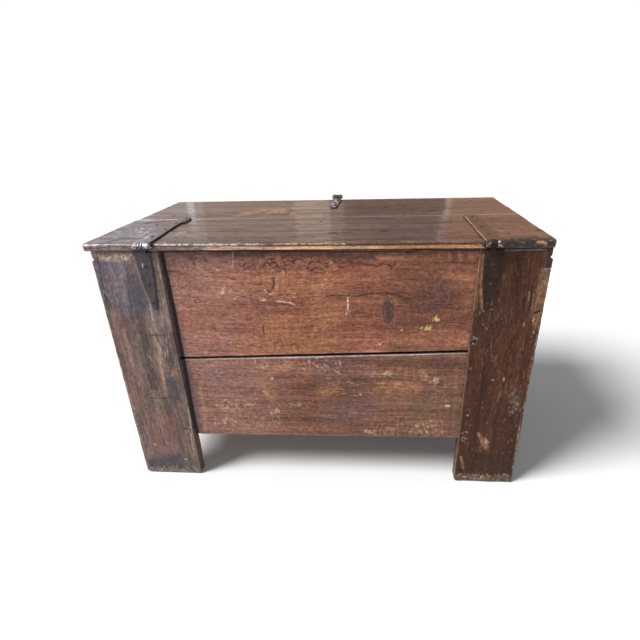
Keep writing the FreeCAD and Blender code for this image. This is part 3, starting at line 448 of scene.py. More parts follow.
def aged(left, low, right, high, upright, seed):
    """Stains, knocks and scratches for a face that the picture doesn't show, in its own plane."""
    rng = np.random.default_rng(seed)
    wide, tall = right - left, high - low
    area = wide * tall / 1000.0
    grain = 90 if upright else 0

    def spot(margin):
        return (left + wide * rng.uniform(margin, 1 - margin),
                low + tall * rng.uniform(margin, 1 - margin))

    def trail(length, tilt):
        """A slightly crooked line from a random place, as a text."""
        x, y = spot(0.04)
        pairs = []
        for _ in range(4):
            pairs.append(f"{np.clip(x, left, right):.1f},{np.clip(y, low, high):.1f}")
            angle = math.radians(tilt + rng.normal(0, 7))
            x += length / 3 * math.cos(angle)
            y += length / 3 * math.sin(angle)
        return " ".join(pairs)

    def patch(size=12):
        x, y = spot(0.08)
        a, b = size * rng.uniform(0.6, 1.3), size * rng.uniform(0.35, 0.7)
        if upright:
            a, b = b, a
        return f"{x - a:.1f} {y - b:.1f} {x + a:.1f} {y + b:.1f}"

    def repeats(least, each):
        """As many times as the area calls for, with one for each so much of it."""
        return range(max(least, round(area / each)))

    strokes = []
    for ink, cover in (("umber", 0.5), ("smoke", 0.4), ("red", 0.35), ("dust", 0.25),
                       ("umber", 0.45), ("orange", 0.25), ("olive", 0.25)):
        for _ in repeats(1, 9):
            strokes += drawn(ink, cover * rng.uniform(0.6, 1.1), rng.uniform(9, 24), 10,
                             trail(rng.uniform(20, 70), grain), broken=0.6)
    for _ in repeats(2, 3.2):
        ink = rng.choice(["pale", "tan", "dust", "tan"])
        strokes += strewn(ink, rng.uniform(0.45, 0.8), int(rng.integers(8, 26)), patch(),
                          rng.uniform(2.0, 3.4), rng.uniform(0, 180), 0.9, 40, 0.2)
    for _ in repeats(2, 5):
        strokes += strewn(rng.choice(["coal", "dark"]), 0.6, int(rng.integers(6, 16)), patch(),
                          3.0, grain, 1.0, 40, 0.4)
    for _ in repeats(2, 2.5):
        strokes += drawn(rng.choice(["bone", "tan", "dust"]), rng.uniform(0.35, 0.7),
                         rng.uniform(0.9, 1.4), 0.9, trail(rng.uniform(8, 46), rng.uniform(0, 180)),
                         broken=0.7)
    for _ in repeats(1, 7):
        strokes += drawn("coal", 0.75, 1.3, 1.0, trail(rng.uniform(14, 70), grain), depth=0.8,
                         broken=0.4)
    for ink, cover, share, size, tilt, width, spread in (
            ("tan", 0.4, 3, 7.0, grain + 90, 0.9, 5), ("dark", 0.4, 3, 8.0, grain + 90, 0.9, 5),
            ("dark", 0.5, 5, 8.0, grain, 1.0, 8),
            ("dust" if upright else "amber", 0.4, 4, 6.0, grain, 0.9, 10)):
        strokes += strewn(ink, cover, round(area * share), f"{left} {low} {right} {high}", size,
                          tilt, width, spread)
    if upright:
        strokes += drawn("olive", 0.8, 7, 4, f"{left},1.5 {right},1.5", broken=0.4)
        strokes += drawn("umber", 0.6, 18, 12, f"{left},10 {right},10", broken=0.4)
        strokes += strewn("dust", 0.8, 90, f"{left} 0 {right} 9", 1.6, 0, 0.9, 70)
        strokes += strewn("coal", 0.7, 60, f"{left} 0 {right} 12", 2.4, 0, 1.0, 60)
    return strokes


def line_distance(uv, line):
    """Distance of each row of uv from a line of points, in pixels."""
    best = np.full(len(uv), 1e9)
    line = [np.array(p, float) for p in line]
    for a, b in zip(line, line[1:]):
        span = b - a
        square = float(span @ span)
        t = np.clip((uv - a) @ span / square, 0, 1) if square else np.zeros(len(uv))
        best = np.minimum(best, np.linalg.norm(uv - a - t[:, None] * span, axis=1))
    return best


def lay_marks(piece, points, flat=None, guess=()):
    """Colour, cover and depth that a piece's marks give at its points, in metres. The marks
    lie in the picture or, where guess holds some, in the face's own plane at the same scale."""
    count = len(points)
    colour = np.zeros((count, 3))
    cover = np.zeros(count)
    depth = np.zeros(count)
    uv = flat * PX_PER_MM if guess else in_picture(points)
    ragged = noise(level(uv), 2.6, 77, 2, 0.6)
    strokes = guess or [stroke for marks in MARKS.get(piece, {}).values() for stroke in marks]
    for ink, strength, width, soft, sink, broken, line in strokes:
        reach = (width + soft) / 2
        box = np.array(line, float)
        near = np.all((uv > box.min(0) - reach) & (uv < box.max(0) + reach), axis=1)
        index = np.nonzero(near)[0]
        if not len(index):
            continue
        weight = 1 - smooth((width - soft) / 2, reach, line_distance(uv[index], line))
        gaps = np.clip(0.55 + 1.6 * ragged[index], 0, 1)
        weight = weight * (1 - broken + broken * gaps)
        top = strength * weight
        below = cover[index] * (1 - top)
        total = np.maximum(top + below, 1e-6)
        tint = np.array(linear(*INKS[ink]))
        colour[index] = (tint * top[:, None] + colour[index] * below[:, None]) / total[:, None]
        cover[index] = top + below
        depth[index] = np.maximum(depth[index], sink * weight)
    return colour, cover, depth


# meshes
def make_mesh(name, points, faces, smooth_faces=True):
    mesh = bpy.data.meshes.new(name)
    mesh.from_pydata([tuple(p) for p in points], [], faces)
    mesh.validate()
    tidy = bmesh.new()
    tidy.from_mesh(mesh)
    bmesh.ops.recalc_face_normals(tidy, faces=tidy.faces)
    tidy.to_mesh(mesh)
    tidy.free()
    flags = [smooth_faces and len(p.vertices) < 8 for p in mesh.polygons]
    mesh.polygons.foreach_set("use_smooth", flags)
    mesh.update()
    return mesh


def store(mesh, **layers):
    """Keep colours or numbers with a mesh's points, under their names."""
    for name, values in layers.items():
        kind, key = ("FLOAT_COLOR", "color") if np.ndim(values) == 2 else ("FLOAT", "value")
        layer = mesh.attributes.new(name, kind, "POINT")
        layer.data.foreach_set(key, np.asarray(values, np.float32).ravel())


def places_of(mesh):
    places = np.zeros(len(mesh.vertices) * 3)
    mesh.vertices.foreach_get("co", places)
    return places.reshape(-1, 3)


def move_to(mesh, places):
    mesh.vertices.foreach_set("co", places.ravel())
    mesh.update()


def dress(name, mesh, body, node, material):
    item = add_object(name, mesh)
    mesh.materials.clear()
    mesh.materials.append(material)
    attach(item, body)
    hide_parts(node)
    return item


def ring_faces(start, sides, rings, closed_end=True):
    """Faces of a tube of rings of points, each numbered on from the one before, and its ends."""
    faces = []
    for ring in range(rings - 1):
        a = start + ring * sides
        for k in range(sides):
            n = (k + 1) % sides
            faces.append((a + k, a + n, a + sides + n, a + sides + k))
    faces.append(tuple(start + k for k in range(sides))[::-1])
    if closed_end:
        faces.append(tuple(start + (rings - 1) * sides + k for k in range(sides)))
    return faces


# planks
NOTCH_ROUND, WORN_REACH, DIRT_REACH = 0.8, 2.6, 7.0


class Plane:
    """A plane of the row frame: which axes run along and up it, and which way is in."""

    def __init__(self, axes, at, inward):
        self.along, self.up, self.through = ("xyz".index(letter) for letter in axes)
        self.at, self.inward = at, inward

    def place(self, flat, depth):
        points = np.zeros((len(flat), 3))
        points[:, self.along] = flat[:, 0]
        points[:, self.up] = flat[:, 1]
        points[:, self.through] = self.at + self.inward * depth
        return points * MM


def grid_lines(length, step, first, last):
    """Places of grid lines along a side, closer where it has a rounded edge."""
    start = [0.0] + [first * share for share in (0.3, 0.75, 1.4, 2.4)] if first else [0.0]
    end = [length - last * share for share in (2.4, 1.4, 0.75, 0.3)] + [length] if last else [length]
    room = end[0] - start[-1]
    count = max(1, int(round(room / step)))
    middle = [start[-1] + room * (k + 1) / count for k in range(count - 1)]
    return np.array(start + middle + end)


def with_line_at(lines, place, near=1.2):
    """Grid lines with one at a place, and one close to it on each side."""
    others = lines[np.abs(lines - place) > 1.25 * near]
    return np.sort(np.r_[others, place - near, place, place + near])


def plank_grid(corners, step, radii, notch):
    """A plank's face as grid points, the cells that are kept, and its outline with the rounding
    of each side. notch is which end it is cut out of, its width and its height from the top."""
    length = np.linalg.norm(corners[1] - corners[0])
    height = np.linalg.norm(corners[3] - corners[0])
    across = grid_lines(length, step, radii[3], radii[1])
    upward = grid_lines(height, step, radii[0], radii[2])
    if notch:
        end, wide, tall = notch
        across = with_line_at(across, wide if end == "low" else length - wide)
        upward = with_line_at(upward, height - tall)
    u, v = np.meshgrid(across / length, upward / height, indexing="ij")
    u, v = u.ravel(), v.ravel()
    weights = [(1 - u) * (1 - v), u * (1 - v), u * v, (1 - u) * v]
    flat = sum(w[:, None] * c for w, c in zip(weights, corners))
    kept = np.ones((len(across) - 1, len(upward) - 1), bool)
    outline = corners
    if notch:
        middle_u = (across[1:] + across[:-1]) / 2
        middle_v = (upward[1:] + upward[:-1]) / 2
        in_u = middle_u < wide if end == "low" else middle_u > length - wide
        kept[np.ix_(in_u, middle_v > height - tall)] = False
        low, right, top, left = corners
        if end == "high":
            outline = [low, right, right + (0, height - tall), right + (-wide, height - tall),
                       top + (-wide, 0), left]
            radii = [*radii[:2], NOTCH_ROUND, NOTCH_ROUND, *radii[2:]]
        else:
            outline = [low, right, top, left + (wide, 0), left + (wide, -tall),
                       left + (0, -tall)]
            radii = [*radii[:3], NOTCH_ROUND, NOTCH_ROUND, radii[3]]
    return flat, kept, np.array(outline, float), radii


def boundary_loop(kept):
    """The border of the kept cells as one loop of grid points."""
    columns, rows = kept.shape
    following = {}
    for i, j in zip(*np.nonzero(kept)):
        for di, dj, a, b in ((0, -1, (i, j), (i + 1, j)), (1, 0, (i + 1, j), (i + 1, j + 1)),
                             (0, 1, (i + 1, j + 1), (i, j + 1)), (-1, 0, (i, j + 1), (i, j))):
            ni, nj = i + di, j + dj
            if not (0 <= ni < columns and 0 <= nj < rows and kept[ni, nj]):
                following[a[0] * (rows + 1) + a[1]] = b[0] * (rows + 1) + b[1]
    start = next(iter(following))
    loop = [start]
    while following[loop[-1]] != start:
        loop.append(following[loop[-1]])
    return np.array(loop)


def round_off(flat, corners, rounds):
    """Points of a plank's outline with some corners, named by number, drawn in to an arc."""
    flat = flat.copy()
    for number, radius in rounds.items():
        inward = np.array([(1, 1), (-1, 1), (-1, -1), (1, -1)][number], float)
        centre = corners[number] + inward * radius
        away = flat - centre
        beyond = np.all(away * inward < 0, axis=1)
        size = np.maximum(np.linalg.norm(away, axis=1), 1e-6)
        share = np.where(beyond, np.abs(away).max(axis=1) / size, 1.0)
        flat = centre + away * share[:, None]
    return flat


def inward_normal(a, b):
    span = (b - a) / np.linalg.norm(b - a)
    return np.array([-span[1], span[0]])


def shape_edges(flat, outline, radii, nibble, seed):
    """What the sides do to a face's points: how deep their rounding lies, how far they are
    nibbled inwards, how near the nearest side is, and which way is in at the border."""
    swell_size, rag_size, nibble_reach = 55, 38, 5.0
    inset = np.zeros(len(flat))
    shift = np.zeros((len(flat), 2))
    nearest = np.full(len(flat), 1e9)
    inward = np.zeros((len(flat), 2))
    for number, (a, b) in enumerate(zip(outline, np.roll(outline, -1, axis=0))):
        normal = inward_normal(a, b)
        s = (flat - a) @ np.array([normal[1], -normal[0]])
        outside = np.maximum(np.maximum(-s, s - np.linalg.norm(b - a)), 0)
        d = np.hypot((flat - a) @ normal, outside)
        inward[d < 0.01] += normal
        if not radii[number]:
            continue
        edge = np.c_[s, np.full(len(s), 50.0 * number), np.zeros(len(s))]
        local = radii[number] * np.clip(1 + 0.7 * noise(edge, swell_size, seed + 7, 3), 0.45, 1.9)
        left = local - np.minimum(d, local)
        inset = np.maximum(inset, local - np.sqrt(np.maximum(local ** 2 - left ** 2, 0)))
        rag = noise(edge, rag_size, seed + number, 4, 0.6)
        amount = np.maximum(nibble * (0.35 + 1.4 * np.maximum(rag, 0) + 0.3 * rag), 0)
        shift += normal * (amount * np.exp(-(d / nibble_reach) ** 2))[:, None]
        nearest = np.minimum(nearest, d)
    return inset, shift, nearest, inward


def side_rings(count, rim_depth, thick, wall, back_radius, chips):
    """The rings of points round a plank's sides: how deep each lies, how much of the nibbling
    it keeps, how far it is drawn in, how worn and how dirty it is."""
    rings = [(np.maximum(rim_depth + 1.6, 3.0), 0.75, 0.0, 0.5, 0.1)]
    rings += [(np.full(count, thick * share), 0.2, 0.0, 0.15, 0.3) for share in wall]
    rings += [(thick - 1.4 * back_radius * chips, 0.35, 0.0, 0.2, 0.4),
              (np.full(count, thick), 0.45, back_radius * chips, 0.5, 0.3)]
    return rings


def soiled(flat, outline, dirt_edges, seed):
    """Dirt that gathers along some of the sides, named by number."""
    dirt = np.zeros(len(flat))
    for number in dirt_edges:
        a, b = outline[number], outline[(number + 1) % len(outline)]
        d = (flat - a) @ inward_normal(a, b)
        patchy = 0.8 + 0.4 * noise(level(flat), 30, seed + 17, 3)
        dirt += np.exp(-np.maximum(d, 0) / DIRT_REACH) * patchy
    return dirt


def plank(name, body, finish, slot, plane, corners, thick, seed, step=8.0, radius=2.0,
          nibble=1.0, wave=0.5, notch=None, wear=0.7, edges=None, back_radius=1.0,
          dirt_edges=(), age="", rounds=None, wall=(0.45,)):
    """A worn plank. corners run round its outward face from its low along, low up corner.
    edges gives a rounding for each side, in that order, where it differs from radius. age is
    "along" or "upright", the grain's way, for a face that the picture doesn't show. wall says
    at which shares of its thickness the sides have a ring of points."""
    rounds = rounds or {}
    corners = np.array(corners, float)
    flat, kept, outline, radii = plank_grid(corners, step, list(edges or [radius] * 4), notch)
    count = len(flat)
    inset, shift, nearest, inward = shape_edges(flat, outline, radii, nibble, seed)
    # the face, gently uneven
    rolling = noise(level(flat), (150, 90, 100), seed + 3, 3)
    hewn = noise(level(flat), (38, 26, 30), seed + 5, 2)
    depth = wave * (1 + 0.75 * rolling + 0.35 * hewn) * smooth(0, 6, np.minimum(nearest, 50))
    depth = inset + np.maximum(depth, 0)
    face = round_off(flat + shift, corners, rounds)
    guess = ()
    if age:
        low, high = corners.min(0) * PX_PER_MM, corners.max(0) * PX_PER_MM
        guess = aged(*low, *high, age == "upright", seed)
    colour, cover, sink = lay_marks(name, plane.place(face, depth), face, guess)
    points = [plane.place(face, depth + sink)]
    rows = kept.shape[1] + 1
    faces = [(i * rows + j, (i + 1) * rows + j, (i + 1) * rows + j + 1, i * rows + j + 1)
             for i, j in zip(*np.nonzero(kept))]
    alive = np.zeros(count, bool)
    alive[np.unique(faces)] = True
    # the sides and the back
    ring = boundary_loop(kept)
    size = len(ring)
    direction = inward[ring]
    direction = direction / np.maximum(np.linalg.norm(direction, axis=1), 1e-6)[:, None]
    chips = 1 + 2.6 * np.maximum(noise(level(flat[ring]), 34, seed + 19, 4, 0.6), 0)
    previous = ring
    patchy = 0.55 + 0.6 * noise(level(flat), 22, seed + 13, 3)
    worn = [wear * np.exp(-nearest / WORN_REACH) * patchy]
    dirt = [soiled(flat, outline, dirt_edges, seed)]
    sides = []
    rings = side_rings(size, depth[ring], thick, wall, back_radius, chips)
    for number, (deep, keep_shift, draw_in, rubbed, grimy) in enumerate(rings):
        wobble = noise(level(flat[ring], 40.0 * number), 30, seed + 11, 3)
        bite = nibble * 0.5 * np.maximum(wobble, 0) * (radius > 0)
        moved = flat[ring] + shift[ring] * keep_shift + direction * (draw_in + bite)[:, None]
        sides.append(round_off(moved, corners, rounds))
        points.append(plane.place(sides[-1], np.minimum(deep, thick)))
        fresh = np.arange(size) + count + size * number
        faces += zip(previous, np.roll(previous, -1), np.roll(fresh, -1), fresh)
        previous = fresh
        worn.append(np.full(size, wear * rubbed))
        dirt.append(np.full(size, grimy))
    faces.append(tuple(previous[::-1]))
    side_colour, side_cover, _ = lay_marks(name, np.concatenate(points[1:]),
                                           np.concatenate(sides), guess)
    # the back is raw, dry wood
    side_colour[-size:] = linear(*INKS["raw"])
    side_cover[-size:] = 0.6
    paint = np.c_[np.r_[colour, side_colour], np.r_[cover, side_cover]]
    # without the grid points that no face uses
    alive = np.r_[alive, np.ones(size * len(rings), bool)]
    renumber = np.cumsum(alive) - 1
    faces = [tuple(int(renumber[i]) for i in face) for face in faces]
    mesh = make_mesh(name, np.concatenate(points)[alive], faces)
    store(mesh, paint=paint[alive], wear=np.clip(np.concatenate(worn), 0, 1)[alive],
          dirt=np.clip(np.concatenate(dirt), 0, 1)[alive])
    return dress(name + "_wood", mesh, body, name, WOOD[finish])


def box_corners(low_a, high_a, low_b, high_b):
    return [(low_a, low_b), (high_a, low_b), (high_a, high_b), (low_a, high_b)]


# iron
def forged(node, body, finish, voxel, seed, hollow=0.35, soften=2, shiny=0.6):
    """The node's solid with soft hammered edges, kept within its own outline."""
    rough = add_object("rough_copy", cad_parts[node].data.copy())
    block = rough.modifiers.new("block", "REMESH")
    block.mode = "VOXEL"
    block.voxel_size = voxel * MM
    block.use_smooth_shade = True
    ease = rough.modifiers.new("ease", "SMOOTH")
    ease.factor = 0.5
    ease.iterations = soften
    bpy.context.view_layer.update()
    graph = bpy.context.evaluated_depsgraph_get()
    mesh = bpy.data.meshes.new_from_object(rough.evaluated_get(graph))
    bpy.data.objects.remove(rough)
    mesh.name = node + "_forged"
    places = places_of(mesh)
    normals = np.array([n.vector[:] for n in mesh.vertex_normals])
    dents = 0.5 + 0.5 * noise(places / MM, 13, seed, 3)
    places = places - normals * (hollow * MM * dents)[:, None]
    move_to(mesh, places)
    # rubbed where the surface turns sharply
    sums = np.zeros((len(places), 3))
    number = np.zeros(len(places))
    ends = np.zeros(len(mesh.edges) * 2, np.int32)
    mesh.edges.foreach_get("vertices", ends)
    ends = ends.reshape(-1, 2)
    for a, b in ((0, 1), (1, 0)):
        np.add.at(sums, ends[:, a], places[ends[:, b]])
        np.add.at(number, ends[:, a], 1)
    lift = ((places - sums / np.maximum(number, 1)[:, None]) * normals).sum(1)
    bend = smooth(0.04 * voxel * MM, 0.22 * voxel * MM, lift)
    colour, cover, _ = lay_marks(node, places)
    store(mesh, paint=np.c_[colour, cover], wear=shiny * bend)
    mesh.polygons.foreach_set("use_smooth", np.ones(len(mesh.polygons), bool))
    dress(node + "_iron", mesh, body, node, IRON[finish])


def nail_heads(name, body, node, finish, places, radius, height, seed, flat=False):
    """Hand-struck heads with a few flat facets, each a little different."""
    rng = np.random.default_rng(seed)
    sides = 8
    points, faces, wear = [], [], []
    rings = [(1.0, -2.0), (1.0, 0.12 * height), (0.86, 0.5 * height), (0.45, 0.86 * height)]
    if flat:
        rings = [(1.0, -2.0), (1.0, 0.3 * height), (0.9, 0.8 * height), (0.5, height)]
    for centre, normal in places:
        centre, normal = np.array(centre, float), np.array(normal, float)
        helper = np.array([1.0, 0, 0]) if abs(normal[0]) < 0.5 else np.array([0, 1.0, 0])
        first = np.cross(normal, helper)
        second = np.cross(normal, first)
        start_angle = rng.uniform(0, math.tau)
        wide = radius * rng.uniform(0.82, 1.0, sides)
        lean = rng.uniform(-0.12, 0.12, 2) * radius
        start = len(points)
        for share, lift in rings:
            for k in range(sides):
                angle = start_angle + math.tau * k / sides
                off = (first * math.cos(angle) + second * math.sin(angle)) * wide[k] * share
                off = off + (first * lean[0] + second * lean[1]) * (1 - share)
                dip = -0.12 * height * rng.uniform(0, 1) if lift > 0.2 * height else 0.0
                points.append(centre + off + normal * (lift + dip))
                wear.append(0.25 + 0.5 * (lift > 0.4 * height))
        crown = len(points)
        points.append(centre + first * lean[0] + second * lean[1]
                      + normal * height * rng.uniform(0.86, 1.0))
        wear.append(0.9)
        faces += ring_faces(start, sides, len(rings), closed_end=False)
        last = crown - sides
        faces += [(last + k, last + (k + 1) % sides, crown) for k in range(sides)]
    mesh = make_mesh(name, np.array(points) * MM, faces, smooth_faces=False)
    store(mesh, wear=np.array(wear) * 0.7, paint=np.zeros((len(mesh.vertices), 4)))
    dress(name, mesh, body, node, IRON[finish])


def peg_ends(node, spots, radius, length, rng):
    """Ends of oak pegs, a little sunk, as far as the stile's worn face."""
    points, faces = [], []
    sides = 10
    rings = ((-length, 0.9), (-3.0, 1.0), (-0.5, 1.0), (-0.05, 0.82))
    for centre, normal in spots:
        centre, normal = np.array(centre, float), np.array(normal, float)
        first = np.array([0, 0, 1.0])
        second = np.cross(normal, first)
        wide = radius * rng.uniform(0.86, 1.0, sides)
        start_angle = rng.uniform(0, math.tau)
        faces += ring_faces(len(points), sides, len(rings))
        for lift, share in rings:
            for k in range(sides):
                angle = start_angle + math.tau * k / sides
                off = (first * math.cos(angle) + second * math.sin(angle)) * wide[k] * share
                points.append(centre + off + normal * (lift + rng.uniform(-0.15, 0)))
    mesh = make_mesh(node + "_mesh", np.array(points) * MM, faces, smooth_faces=False)
    count = len(mesh.vertices)
    store(mesh, wear=np.full(count, 0.35), dirt=np.zeros(count), paint=np.zeros((count, 4)))
    dress(node + "_wood", mesh, "case", node, WOOD["peg"])


